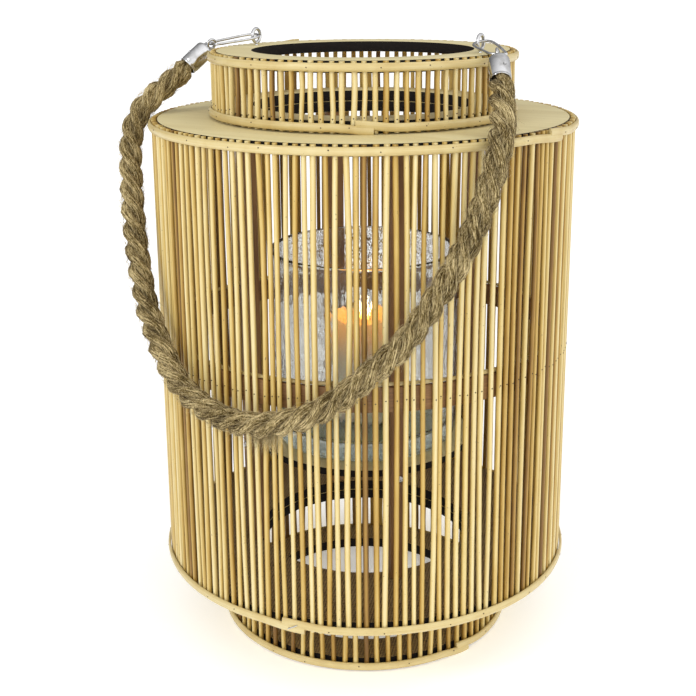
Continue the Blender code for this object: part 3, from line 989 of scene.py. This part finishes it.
# %% Sticks
STICK_SIDES = 8
STICK_RINGS = 6
PAINTED_SIDE_SHADE = 0.5  # how much darker the sides and back are painted than the face: painted shade
PAINTED_SHADE_FROM = 0.3  # where the painted side shade begins, as a share of the radius
ROD_R = 1.8 * MM
ROD_ENDS = 0.2 * MM  # how far above its panel's foot each rod starts
ROD_UNEVEN = 0.3 * MM  # how much lower than the panel's top a rod may end
BAND_T = 1.9 * MM
BAND_GAP = 0.75 * MM
LEAN = 0.45  # this and the next three are shares of a cage's looseness
BOW = 0.45
WAVE = 0.22
BULGE = (-0.25, 0.1)
THICK = (0.86, 1.04)
THINNING = 0.07
PALEST = 0.06
TONES = 0.50
DARK_STICKS = 0.18  # the share of dark sticks, and how much darker they are
DARK_BY = 0.28


def stick_seed():
    """A stick of radius 1 and length 1 along Z, cut into rings to bend at."""
    shape = bmesh.new()
    bmesh.ops.create_cone(
        shape, cap_ends=True, segments=STICK_SIDES, radius1=1, radius2=1, depth=1,
        matrix=Matrix.Translation((0, 0, 0.5)),
    )
    for ring in range(1, STICK_RINGS):
        geometry = shape.verts[:] + shape.edges[:] + shape.faces[:]
        bmesh.ops.bisect_plane(
            shape, geom=geometry, plane_co=(0, 0, ring / STICK_RINGS), plane_no=(0, 0, 1)
        )
    mesh = bpy.data.meshes.new("stick_seed")
    shape.to_mesh(mesh)
    shape.free()
    return mesh


class Stick:
    """One rod: where it stands, how it leans and bows, how thick and how dark it is."""

    def __init__(self, rng, circle, angle, low, high, looseness):
        self.circle = circle
        self.angle = angle
        self.low = low
        self.high = high
        loose = looseness * MM
        self.foot = rng.uniform(-LEAN, LEAN) * loose
        self.head = rng.uniform(-LEAN, LEAN) * loose
        self.bow = rng.gauss(0, BOW) * loose
        self.wave = rng.gauss(0, WAVE) * loose
        self.out = rng.uniform(*BULGE) * loose
        self.radius = ROD_R * rng.uniform(*THICK)
        self.taper = rng.uniform(-THINNING, THINNING)
        self.tone = PALEST + TONES * rng.random() ** 2
        if rng.random() < DARK_STICKS:
            self.tone += DARK_BY

    def middle(self, height):
        """The centre of the stick at a height."""
        t = (height - self.low) / (self.high - self.low)
        shift = self.foot + (self.head - self.foot) * t
        shift += self.bow * 4 * t * (1 - t) + self.wave * math.sin(math.tau * t)
        radius = self.circle + self.out * 4 * t * (1 - t)
        angle = self.angle + shift / self.circle
        return Vector((radius * math.cos(angle), radius * math.sin(angle), height)), angle

    def thickness(self, height):
        t = (height - self.low) / (self.high - self.low)
        return self.radius * (1 + self.taper * (t - 0.5))


def rod_circle(band_node):
    """The circle that the rods stand on: just inside the band that clasps them."""
    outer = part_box(band_node)[1].y
    return outer - BAND_T - ROD_R - BAND_GAP


def make_rods(prefix, panels, rods, looseness, seed, darker=0.0):
    """All the panels of one cage; darker adds painted shade to every stick. Returns its sticks,
    for the nails.
    """
    rng = random.Random(seed)
    circle = rod_circle(prefix + "_bottom_band")
    stick_mesh = stick_seed()
    sticks = []
    for panel in range(panels):
        node = f"{prefix}_rods_{panel + 1:02d}"
        low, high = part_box(node)
        shape = bmesh.new()
        layer = shape.verts.layers.float.new(STICK_TONE_AND_SHADE)
        for number in range(rods):
            angle = math.tau * (panel * rods + number) / (panels * rods)
            foot = low.z + ROD_ENDS
            head = high.z - rng.uniform(0, ROD_UNEVEN)
            stick = Stick(rng, circle, angle, foot, head, looseness)
            sticks.append(stick)
            start = len(shape.verts)
            shape.from_mesh(stick_mesh)
            shape.verts.ensure_lookup_table()
            for corner in shape.verts[start:]:
                height = stick.low + corner.co.z * (stick.high - stick.low)
                middle, angle_here = stick.middle(height)
                out = Vector((math.cos(angle_here), math.sin(angle_here), 0))
                side = Vector((-out.y, out.x, 0))
                size = stick.thickness(height)
                local = corner.co.copy()
                corner.co = middle + (out * local.x + side * local.y) * size
                # The sides, which face the next sticks, and the back, which faces the lantern's
                # inside, are painted darker: painted shade.
                shade = max(abs(local.y) - PAINTED_SHADE_FROM, -local.x, 0) * PAINTED_SIDE_SHADE
                corner[layer] = stick.tone + darker + shade
        finish_piece(
            f"{prefix}_sticks_{panel + 1:02d}", shape, "root", [node],
            [core_finish], sharp=60,
        )
    bpy.data.meshes.remove(stick_mesh)
    return sticks


body_sticks = make_rods("body", 10, 15, 1.9, 21)
collar_sticks = make_rods("collar", 6, 16, 0.9, 22)
# The foot's sticks are painted darker all through: painted shade.
foot_sticks = make_rods("foot", 6, 14, 0.9, 23, darker=0.16)
print(len(body_sticks) + len(collar_sticks) + len(foot_sticks), "rods made")

# %% [markdown]
# ## The split rattan bands
#
# Over the rods' ends runs a half-round band of split rattan, glossy on its skin side. It is one
# strip whose ends pass each other and are nailed, so it is not a closed ring: this is a grid
# bent a little more than a full turn, whose two ends part sideways where they overlap. A turned
# ring would be simpler but would have no joint.

# %% Split rattan
def split_rattan(name):
    """The glossy skin of the cane, with its grain along the band."""
    finish = Finish(name)
    fibres = finish.cloud(finish.place((0.5, 0.5, 40), source=GRAIN), detail=4, rough=0.6)
    streaks = finish.cloud(finish.place((2.5, 2.5, 160), source=GRAIN), detail=2)
    blotch = finish.cloud(finish.place((12, 12, 12)), detail=3)
    mark = finish.cloud(finish.place((1.3, 1.3, 1.3)), detail=1).step(0.76, 0.80)
    tone = fibres * 0.3 + streaks * 0.4 + blotch * 0.3
    colour = finish.ramp(
        tone,
        (0.28, (0.68, 0.58, 0.31)),
        (0.50, (0.60, 0.47, 0.20)),
        (0.72, (0.45, 0.30, 0.09)),
    )
    colour = finish.mix(mark * 0.7, colour, (0.15, 0.09, 0.04))
    relief = finish.bump(fibres, 0.08)
    return finish.shader(
        base_color=colour, roughness=0.38 + fibres * 0.15, normal=relief,
        coat_weight=0.3, coat_roughness=0.25,
    )


band_finish = split_rattan("split_rattan")

# %% Bands with lapped ends
LAP = math.radians(6)  # how far the ends pass each other
PART = math.radians(8)  # how long they take to move apart
PART_BY = 2.0 * MM
LAP_LIFT = 0.35 * MM
BAND_SIDES = 14
BAND_STEPS = 330
BAND_BACK = -0.30  # where the half-round's flat back cuts the circle
BAND_SHY = 0.25 * MM  # how far inside its full size the band stays
BAND_FILL = 0.96
BAND_WAVE = 0.05
WAVES = 9


def make_band(name, joint):
    """A half-round strip round one plate's edge, with its lapped joint at an angle from +X."""
    node = name + "_band"
    low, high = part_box(node)
    outer = high.y
    middle = (low.z + high.z) / 2
    half = (high.z - low.z) / 2
    start = math.radians(joint) - LAP / 2
    span = math.tau + LAP

    def place(v, u):
        turned = start + span * u
        apart = 0.0
        for distance, way in ((span * u, 1), (span * (1 - u), -1)):
            ease = 1 - min(distance / (LAP + PART), 1)
            apart += way * ease * ease * (3 - 2 * ease)
        angle = math.tau * v
        radial = (max(math.cos(angle), BAND_BACK) - BAND_BACK) / (1 - BAND_BACK)
        wave = noise.noise(Vector((turned * WAVES, joint, 0)))
        height = middle + half * (BAND_FILL * math.sin(angle) + BAND_WAVE * wave)
        height += apart * PART_BY
        lift = LAP_LIFT * max(-apart, 0)
        radius = outer - BAND_T + BAND_T * radial - BAND_SHY + lift
        point = Vector((radius * math.cos(turned), radius * math.sin(turned), height))
        grain = Vector((radial * BAND_T, half * math.sin(angle), turned * outer))
        return point, grain

    shape = wrap(BAND_SIDES, BAND_STEPS, place)
    finish_piece("hoop_" + name, shape, "root", [node], [band_finish], sharp=50)


BAND_JOINTS = {
    "foot_bottom": -20, "body_bottom": -79, "body_top": -5, "collar_bottom": -60,
    "collar_top": 150,
}
for name, joint in BAND_JOINTS.items():
    make_band(name, joint)
print(len(BAND_JOINTS), "bands made")

# %% [markdown]
# ## The hoop half way up
#
# A flat brown hoop inside the body's rods keeps them evenly spaced. It is turned from a
# four-cornered outline. A thin strip of beads is tacked on above it: a tube rolled from a grid,
# whose radius swells once for every bead.

# %% Brown wood
def brown_wood(name, upright):
    """Stained wood, with its grain along an upright post or round a hoop."""
    finish = Finish(name)
    size = (2.2, 2.2, 60) if upright else (9, 9, 1.1)
    fine = (0.5, 0.5, 14) if upright else (5, 5, 0.35)
    grain = finish.cloud(finish.place(size), detail=5, rough=0.6)
    pores = finish.cloud(finish.place(fine), detail=3, rough=0.6)
    broad = finish.cloud(finish.place((30, 30, 60)), detail=2)
    tone = grain * 0.5 + pores * 0.2 + broad * 0.3
    colour = finish.ramp(
        tone,
        (0.30, (0.11, 0.050, 0.016)),
        (0.50, (0.235, 0.115, 0.036)),
        (0.70, (0.37, 0.20, 0.070)),
    )
    relief = finish.bump(grain * 0.4 + pores * 0.6, 0.15)
    return finish.shader(
        base_color=colour, roughness=0.5 + pores * 0.2, normal=relief,
        coat_weight=0.1, coat_roughness=0.4,
    )


hoop_finish = brown_wood("brown_hoop_wood", upright=False)
post_finish = brown_wood("brown_post_wood", upright=True)

# %% Hoop and bead
HOOP_T = 3 * MM
HOOP_EASE = 0.5 * MM
BEAD_STEPS = 420  # four to a bead
BEAD_SWELL = 0.14


def make_hoop():
    """The flat hoop that the body's rods are nailed to."""
    low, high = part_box("mid_hoop")
    inner = high.y - HOOP_T
    outline = ((high.y, high.z), (high.y, low.z), (inner, low.z), (inner, high.z))
    shape = turn(outline, ROUND, closed=True)
    ease_edges(shape, HOOP_EASE)
    finish_piece("hoop_mid", shape, "root", ["mid_hoop"], [hoop_finish])


def make_bead():
    """The beaded strip above the hoop."""
    low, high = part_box("hoop_bead")
    radius = (high.z - low.z) / 2
    ring = high.y - radius
    middle = (low.z + high.z) / 2

    def place(v, u):
        turned = math.tau * u
        angle = math.tau * v
        size = radius * (1 - BEAD_SWELL + BEAD_SWELL * math.cos(BEAD_STEPS / 4 * turned))
        out = ring + size * math.cos(angle)
        point = Vector((out * math.cos(turned), out * math.sin(turned), 0))
        point.z = middle + size * math.sin(angle)
        return point, Vector((angle, 0, turned * ring))

    shape = wrap(8, BEAD_STEPS, place)
    finish_piece("bead_mid", shape, "root", ["hoop_bead"], [band_finish])


make_hoop()
make_bead()
print("hoop and bead made, with", BEAD_STEPS // 4, "beads")

# %% [markdown]
# ## Nails and a staple
#
# Every stick of the body is nailed to the hoop, every stick of the collar near its foot, and
# the bands every few centimetres. Each nail is a low six-sided head with few faces, because
# there are hundreds, turned to face outwards at the stick that it holds. The lap of the body's
# lower band, which is the widest, is held by a bright wire staple as well.

# %% Nail heads
NAIL_R = 0.55 * MM
NAIL_PROUD = 0.22 * MM
NAIL_CROWN = 0.6  # the width of a head's top, as a share of its foot's
COLLAR_NAILS_UP = 1.2 * MM
BAND_NAIL_IN = 0.28 * MM
MANY_NAILS, FEW_NAILS = 26, 18
WIDE_BAND = 0.12


def nail_steel(name):
    """Dark steel with a little rust."""
    finish = Finish(name)
    rust = finish.cloud(finish.place((0.8, 0.8, 0.8)), detail=3)
    colour = finish.mix(rust, (0.020, 0.013, 0.010), (0.10, 0.055, 0.03))
    return finish.shader(base_color=colour, metallic=0.6, roughness=0.4 + rust * 0.3)


nail_finish = nail_steel("nail_steel")


def add_nail(shape, point, angle):
    """A nail's head on a surface that faces outwards at an angle round the axis."""
    seat = Matrix.Translation(point) @ Matrix.Rotation(angle, 4, "Z") @ LIE_DOWN
    bmesh.ops.create_cone(
        shape, cap_ends=True, segments=6, radius1=NAIL_R, radius2=NAIL_R * NAIL_CROWN,
        depth=2 * NAIL_PROUD, matrix=seat,
    )


def make_nails():
    """One piece with every nail's head."""
    rng = random.Random(31)
    shape = bmesh.new()
    low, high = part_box("mid_hoop")
    hoop_z = (low.z + high.z) / 2
    foot_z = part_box("collar_bottom_plate")[1].z + COLLAR_NAILS_UP
    for sticks, height in ((body_sticks, hoop_z), (collar_sticks, foot_z)):
        for stick in sticks:
            at = height + rng.uniform(-1.2, 1.2) * MM
            middle, angle = stick.middle(at)
            out = Vector((math.cos(angle), math.sin(angle), 0))
            add_nail(shape, middle + out * stick.thickness(at), angle)
    for name in BAND_JOINTS:
        low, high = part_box(name + "_band")
        count = MANY_NAILS if high.y > WIDE_BAND else FEW_NAILS
        for number in range(count):
            angle = math.tau * (number + rng.uniform(-0.3, 0.3)) / count
            radius = high.y - BAND_NAIL_IN
            height = (low.z + high.z) / 2 + rng.uniform(-1.0, 1.0) * MM
            point = Vector((radius * math.cos(angle), radius * math.sin(angle), height))
            add_nail(shape, point, angle)
    return finish_piece("nails", shape, "root", (), [nail_finish])


nails = make_nails()
print("nails have", len(nails.data.polygons), "faces")

# %% The staple
STAPLE_R = 0.4 * MM
STAPLE_OUT = 0.05 * MM
STAPLE_LINE = ((-3.2, -1.8), (-1.6, -0.9), (0, 0), (1.6, 0.9), (3.2, 1.8))  # mm along and up


def make_staple():
    """A bright staple that holds the lap of the body's lower band."""
    low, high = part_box("body_bottom_band")
    radius = high.y + STAPLE_OUT
    middle = math.radians(BAND_JOINTS["body_bottom"])
    points = []
    for along, up in STAPLE_LINE:
        angle = middle + along * MM / radius
        height = (low.z + high.z) / 2 + up * MM
        points.append(Vector((radius * math.cos(angle), radius * math.sin(angle), height)))
    shape = wire(points, STAPLE_R, 8)
    finish_piece("staple", shape, "root", (), [chrome_finish])


make_staple()
print("staple made")

# %% [markdown]
# ## Posts and shelf
#
# Four square posts stand between the body's plates and carry a round shelf, and a screw through
# each post bites into the shelf's edge. A post is a box whose long edges are eased with a bevel.

# %% Posts, shelf and screws
POSTS = {"back_right": 45, "back_left": 135, "front_left": 225, "front_right": 315}
POST_W = 11.5 * MM
POST_IN_R = 75.5 * MM
POST_EASE = 0.8 * MM
SCREW_R = 2.8 * MM
SCREW_HEAD_T = 1.6 * MM
SCREW_TIP = 8 * MM
SCREW_OUT = 0.1 * MM
SCREW_HEAD = (  # shares of the head's radius and height
    (0, 1), (0.45, 0.96), (0.8, 0.72), (1, 0.3), (1, 0), (0.45, 0),
)


def make_post(label, degrees):
    """A square post on its diagonal."""
    node = "post_" + label
    low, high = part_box(node)
    shape = bmesh.new()
    bmesh.ops.create_cube(shape, size=1.0)
    bmesh.ops.scale(shape, verts=shape.verts, vec=(POST_W, POST_W, high.z - low.z))
    ease_edges(shape, POST_EASE, 3)
    seat = Matrix.Rotation(math.radians(degrees), 4, "Z")
    seat = seat @ Matrix.Translation((POST_IN_R + POST_W / 2, 0, (low.z + high.z) / 2))
    bmesh.ops.transform(shape, verts=shape.verts, matrix=seat)
    finish_piece("upright_" + label, shape, "root", [node], [post_finish])


def make_shelf_screw(label, degrees):
    """A round-headed screw that lies in its post, with its point in the shelf's edge."""
    outline = [(SCREW_R * out, SCREW_HEAD_T * up) for out, up in SCREW_HEAD]
    outline += [(outline[-1][0], -POST_W), (0, -POST_W - SCREW_TIP)]
    shape = turn(outline, 24)
    low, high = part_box("shelf")
    seat = Matrix.Rotation(math.radians(degrees), 4, "Z")
    seat = seat @ Matrix.Translation((POST_IN_R + POST_W + SCREW_OUT, 0, (low.z + high.z) / 2))
    bmesh.ops.transform(shape, verts=shape.verts, matrix=seat @ LIE_DOWN)
    finish_piece(
        "screw_" + label, shape, "root", ["shelf_screw_" + label], [chrome_finish]
    )


for label, degrees in POSTS.items():
    make_post(label, degrees)
    make_shelf_screw(label, degrees)

# %% The shelf
SHELF_R = POST_IN_R - 0.3 * MM
SHELF_EASE = 0.4 * MM


def make_shelf():
    """A round board between the posts, with a painted edge."""
    low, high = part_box("shelf")
    shape = turn([(0, high.z), (SHELF_R, high.z), (SHELF_R, low.z), (0, low.z)], ROUND)
    for face in shape.faces:
        face.material_index = 0 if abs(face.normal.z) > 0.5 else 1
    ease_edges(shape, SHELF_EASE)
    finishes = [veneer_finish, edge_finish]
    finish_piece("shelf_board", shape, "root", ["shelf"], finishes)


make_shelf()
print("posts and shelf made")

# %% [markdown]
# ## The glass jar
#
# The jar is thick pressed glass with hammered, rippled walls and a heavy, faintly green base.
# Ripples in a bump map do not bend what is seen through glass much, so they are moved into the
# mesh: the turned wall is pushed in and out by noise that is stretched upwards.

# %% Jar
JAR_R = 66 * MM
JAR_WALL = 3.6 * MM
JAR_BASE = 12 * MM
JAR_CORNER = 6 * MM
JAR_LIP = 1.6 * MM
JAR_STEPS = 128
JAR_ROWS = 34  # rings of faces up each side of the wall
JAR_CALM = 10 * MM  # the ripples fade out over this height, up to the rim
RIPPLE, RIPPLE_SIZE = 0.35, (11, 11, 26)  # depths and sizes in mm
DENT, DENT_SIZE = 0.25, (6, 6, 9)
DENT_FROM = Vector((0, 0, 40))
INSIDE_MORE, OUTSIDE_LESS = 1.1, 0.6
OUTSIDE_IN = 0.15 * MM


def glass(name):
    """Clear glass that is faintly green where it is thick."""
    finish = Finish(name)
    ripple = finish.cloud(finish.place((5, 5, 14)), detail=3, rough=0.5)
    z = finish.axes(finish.place())[2]
    base_z = (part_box("glass_jar")[0].z + JAR_BASE) / MM
    deep = 1 - z.step(base_z - 2, base_z + 3)
    colour = finish.mix(deep, (0.97, 0.985, 0.975), (0.74, 0.90, 0.83))
    return finish.shader(
        base_color=colour, roughness=0.02, ior=1.5, transmission_weight=1.0,
        normal=finish.bump(ripple, 0.6),
    )


def arc(centre, radius, start, end, steps):
    """Points of a round corner in an outline, from one angle to another in degrees."""
    points = []
    for step in range(steps + 1):
        angle = math.radians(start + (end - start) * step / steps)
        points.append((centre[0] + radius * math.cos(angle), centre[1] + radius * math.sin(angle)))
    return points


def wall(radius, start, end, rows):
    """The points of a straight wall between two heights, without its ends."""
    return [(radius, start + (end - start) * row / rows) for row in range(1, rows)]


def push_out(corner, push):
    """Moves a corner away from the lantern's axis."""
    radius = math.hypot(corner.co.x, corner.co.y)
    corner.co.x *= (radius + push) / radius
    corner.co.y *= (radius + push) / radius


def lumps(at, size, start=Vector()):
    """Noise at a place, with lumps of this size in mm."""
    return noise.noise(Vector([way / side for way, side in zip(at / MM, size)]) + start)


def jar_outline(low, high):
    """From the middle of the jar's floor, over its rim, to the middle of its underside."""
    inner = JAR_R - JAR_WALL
    floor_z = low + JAR_BASE
    lip = high - JAR_LIP
    rim = JAR_WALL / 2
    outline = [(0, floor_z - 1.5 * MM), (inner * 0.5, floor_z - 0.8 * MM)]
    outline += arc((inner - JAR_CORNER, floor_z + JAR_CORNER), JAR_CORNER, -90, 0, 6)
    outline += wall(inner, floor_z + JAR_CORNER, lip, JAR_ROWS)
    outline += arc((JAR_R - rim, high - rim), rim, 180, 0, 10)
    outline += wall(JAR_R, lip, low + JAR_CORNER, JAR_ROWS)
    outline += arc((JAR_R - JAR_CORNER, low + JAR_CORNER), JAR_CORNER, 0, -90, 6)
    return outline + [(JAR_R * 0.6, low + 0.2 * MM), (0, low + 1.2 * MM)]


def make_jar():
    """The turned jar, with its walls rippled more on the inside than on the outside."""
    low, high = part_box("glass_jar")
    shape = turn(jar_outline(low.z, high.z), JAR_STEPS)
    for corner in shape.verts:
        radius = math.hypot(corner.co.x, corner.co.y)
        if radius < (JAR_R - JAR_WALL) * 0.9:
            continue
        calm = min(1.0, max(0.0, (high.z - corner.co.z) / JAR_CALM))
        push = RIPPLE * lumps(corner.co, RIPPLE_SIZE)
        push += DENT * lumps(corner.co, DENT_SIZE, DENT_FROM)
        push *= calm * MM
        if radius < JAR_R - JAR_WALL / 2:
            push *= INSIDE_MORE
        else:
            push = min(push * OUTSIDE_LESS, 0.0) - OUTSIDE_IN
        push_out(corner, push)
    finishes = [glass("jar_glass")]
    finish_piece("jar", shape, "jar", ["glass_jar"], finishes, sharp=80)


make_jar()
print("jar made,", round(2 * JAR_R / MM), "mm wide")

# %% [markdown]
# ## The candle
#
# A cream pillar candle with a melted well. Wax glows where the flame lights it from inside, so
# its colour and its own light both fade with the distance from the flame: subsurface scattering
# does the soft edges, and a gradient of emission stands for the light inside the wax.

# %% Wax, charred cotton and fire
candle_low, candle_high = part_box("candle")
wick_low, wick_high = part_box("wick")
FLAME_AT = Vector((0, 0, wick_high.z + 4 * MM))
GLOW_FROM, GLOW_TO = 8, 52  # mm from the flame's middle
FIRE_H = 20  # mm


def wax(name):
    """Cream wax that glows orange near the flame."""
    finish = Finish(name)
    mottled = finish.cloud(finish.place((7, 7, 12)), detail=4, rough=0.6)
    fine = finish.cloud(finish.place((1.5, 1.5, 1.5)), detail=3)
    ends = {0: finish.place(), 1: tuple(FLAME_AT / MM)}
    reach = finish.node("VectorMath", ends, output="Value", operation="DISTANCE")
    glow = 1 - reach.step(GLOW_FROM, GLOW_TO)
    colour = finish.mix(mottled, (0.76, 0.66, 0.45), (0.84, 0.76, 0.56))
    colour = finish.mix(glow * 0.7, colour, (0.95, 0.55, 0.16))
    light = finish.mix(glow ** 2.2, (0, 0, 0), (1.0, 0.40, 0.06))
    return finish.shader(
        base_color=colour, roughness=0.42 + fine * 0.15, normal=finish.bump(fine, 0.12),
        subsurface_weight=0.25, subsurface_scale=0.004, emission_color=light,
        emission_strength=1.0,
    )


def charred(name):
    """Burnt cotton."""
    finish = Finish(name)
    burnt = finish.cloud(finish.place((0.5, 0.5, 0.5)), detail=3)
    colour = finish.mix(burnt, (0.012, 0.009, 0.007), (0.06, 0.04, 0.025))
    return finish.shader(base_color=colour, roughness=0.9, normal=finish.bump(burnt, 0.2))


def fire(name):
    """A flame's own light: orange at its foot and tip, yellow between them."""
    finish = Finish(name)
    z = finish.axes(finish.place())[2]
    rise = (z - wick_high.z / MM) / FIRE_H
    light = finish.ramp(
        rise,
        (0.0, (0.9, 0.35, 0.05)),
        (0.25, (1.0, 0.75, 0.35)),
        (0.75, (1.0, 0.80, 0.45)),
        (1.0, (1.0, 0.55, 0.15)),
    )
    return finish.shader(base_color=(1, 0.8, 0.4), emission_color=light, emission_strength=6.0)


# %% The candle
CANDLE_R = 25 * MM
CANDLE_ROUND = 1.5 * MM  # the candle's lower edge
CANDLE_ROWS = 16
WELL_R = 21 * MM
WELL_D = 9 * MM
WELL_CORNER = 3 * MM
WELL_LIP_OUT, WELL_LIP_DOWN = 0.4 * MM, 1.5 * MM
WAX_RIM = (CANDLE_R - WELL_R) / 2 - 0.3 * MM
WAX_UNEVEN, WAX_LUMPS = 0.25 * MM, (9, 9, 18)
WAX_SHRUNK = 0.6
MELTED_FROM = 2.5 * MM  # how far under its top the rim has sagged, and how much it sags
MELTED_DIP = 0.8 * MM


def candle_outline():
    """From the middle of the melted well, over the rim, to the middle of the underside."""
    low, high = candle_low.z, candle_high.z
    well_z = high - WELL_D
    outline = [(0, well_z), (WELL_R * 0.5, well_z)]
    outline += arc((WELL_R - WELL_CORNER, well_z + WELL_CORNER), WELL_CORNER, -90, 0, 5)
    outline += [(WELL_R + WELL_LIP_OUT, high - WELL_LIP_DOWN)]
    outline += arc((CANDLE_R - WAX_RIM, high - WAX_RIM), WAX_RIM, 150, 0, 6)
    for row in range(1, CANDLE_ROWS):
        height = high - WAX_RIM + (low - high) * row / (CANDLE_ROWS + 1)
        outline.append((CANDLE_R, height))
    corner = (CANDLE_R - CANDLE_ROUND, low + CANDLE_ROUND)
    return outline + arc(corner, CANDLE_ROUND, 0, -90, 3) + [(0, low)]


def make_candle():
    """The wax, with uneven sides and a rim that has sagged a little."""
    shape = turn(candle_outline(), 72)
    for corner in shape.verts:
        if math.hypot(corner.co.x, corner.co.y) > WELL_R * 0.8:
            push_out(corner, WAX_UNEVEN * (lumps(corner.co, WAX_LUMPS) - WAX_SHRUNK))
        if corner.co.z > candle_high.z - MELTED_FROM:
            turned = math.atan2(corner.co.y, corner.co.x)
            dip = noise.noise(Vector((2 * math.cos(turned), 2 * math.sin(turned), 5)))
            corner.co.z -= MELTED_DIP * max(0, 0.4 + dip)
    finish_piece("pillar_candle", shape, "candle", ["candle"], [wax("wax")])


make_candle()

# %% The wick and the flame
WICK_R = 0.85 * MM
WICK_STEPS = 24
WICK_LEAN = 0.9 * MM
WICK_TIP = 0.85  # where along the wick its tip starts to thin, and how much it thins
WICK_THINS = 0.4
FLAME_STEPS = 18
FLAME_R = 3.1 * MM
FLAME_H = 21 * MM
FLAME_DOWN = 4 * MM  # how far down the wick the flame starts
FLAME_BELLY = 0.62  # below 1, the flame is widest under its middle
FLAME_FULL = 0.8


def wick_tip(u):
    """The wick thins at its burnt end."""
    return 1 - WICK_THINS * max(0, u - WICK_TIP) / (1 - WICK_TIP)


def make_wick():
    """A wick that leans over a little."""
    line = []
    for index in range(WICK_STEPS + 1):
        t = index / WICK_STEPS
        height = wick_low.z + (wick_high.z - wick_low.z) * t
        line.append(Vector((WICK_LEAN * t * t, 0, height)))
    shape = wire(line, WICK_R, 8, taper=wick_tip)
    finish_piece("burnt_wick", shape, "candle", ["wick"], [charred("charred")])


def make_flame():
    """A turned drop of light round the wick's end."""
    outline = [(0, wick_high.z - FLAME_DOWN)]
    for step in range(1, FLAME_STEPS):
        t = step / FLAME_STEPS
        width = FLAME_R * math.sin(math.pi * t ** FLAME_BELLY) ** FLAME_FULL
        outline.append((width, outline[0][1] + FLAME_H * t))
    outline.append((0, outline[0][1] + FLAME_H))
    shape = turn(outline, 20)
    finish_piece("flame", shape, "candle", (), [fire("fire")], sharp=180)


make_wick()
make_flame()
print("candle made")

# %% [markdown]
# ## Floor and light
#
# A plain studio: a white floor so wide that it runs into a white surround. The surround is not
# even, it fades from bright on one side to dark on the other, which gives the rods a light side
# and a dark side, and one soft lamp stands at the front left. The floor glows faintly, so that
# the lantern's shadow on it stays pale.

# %% Floor
FLOOR_R = 25
FLOOR_GLOW = 0.28


def studio_floor(name):
    """White paper with a faint glow of its own."""
    finish = Finish(name)
    paper = finish.cloud(finish.place((4, 4, 4)), detail=3)
    colour = finish.mix(paper, (0.96, 0.96, 0.96), (0.98, 0.98, 0.98))
    return finish.shader(
        base_color=colour, roughness=0.8, emission_color=(1, 1, 1),
        emission_strength=FLOOR_GLOW,
    )


floor_shape = bmesh.new()
bmesh.ops.create_circle(floor_shape, cap_ends=True, segments=96, radius=FLOOR_R)
floor_mesh = bpy.data.meshes.new("floor")
floor_shape.to_mesh(floor_mesh)
floor_shape.free()
floor_mesh.materials.append(studio_floor("studio_floor"))
floor = bpy.data.objects.new("floor", floor_mesh)
bpy.context.scene.collection.objects.link(floor)
print("floor laid,", 2 * FLOOR_R, "m wide")

# %% Lights
LIGHT_FROM = Vector((0.85, -0.50, 0.20)).normalized()
LEVEL = 0.84  # brightness of the surround, averaged over the sky
SLOPE = 0.72  # how much brighter it is towards the light, and darker away from it
LAMP_AT = Vector((-0.5, -1.4, 1.1))
LAMP_AIM = Vector((0, 0, 0.2))
LAMP_SIZE = 0.4
LAMP_WATTS = 6


def soft_surround(name):
    """A surround that fades from bright on the light's side to dark on the other."""
    world = bpy.data.worlds.new(name)
    world.use_nodes = True
    tree = world.node_tree
    direction = tree.nodes.new("ShaderNodeTexCoord")
    facing = tree.nodes.new("ShaderNodeVectorMath")
    facing.operation = "DOT_PRODUCT"
    facing.inputs[1].default_value = LIGHT_FROM
    strength = tree.nodes.new("ShaderNodeMath")
    strength.operation = "MULTIPLY_ADD"
    strength.inputs[1].default_value = SLOPE
    strength.inputs[2].default_value = LEVEL
    background = tree.nodes["Background"]
    background.inputs["Color"].default_value = (1, 1, 1, 1)
    tree.links.new(direction.outputs["Generated"], facing.inputs[0])
    tree.links.new(facing.outputs["Value"], strength.inputs[0])
    tree.links.new(strength.outputs[0], background.inputs["Strength"])
    return world


bpy.context.scene.world = soft_surround("studio")
bpy.context.scene.view_settings.view_transform = "Standard"

lamp_data = bpy.data.lights.new("key", "AREA")
lamp_data.shape = "DISK"
lamp_data.size = LAMP_SIZE
lamp_data.energy = LAMP_WATTS
lamp = bpy.data.objects.new("key", lamp_data)
lamp.location = LAMP_AT
lamp.rotation_euler = (LAMP_AIM - LAMP_AT).to_track_quat("-Z", "Y").to_euler()
bpy.context.scene.collection.objects.link(lamp)
print("lamp of", LAMP_WATTS, "W hung")
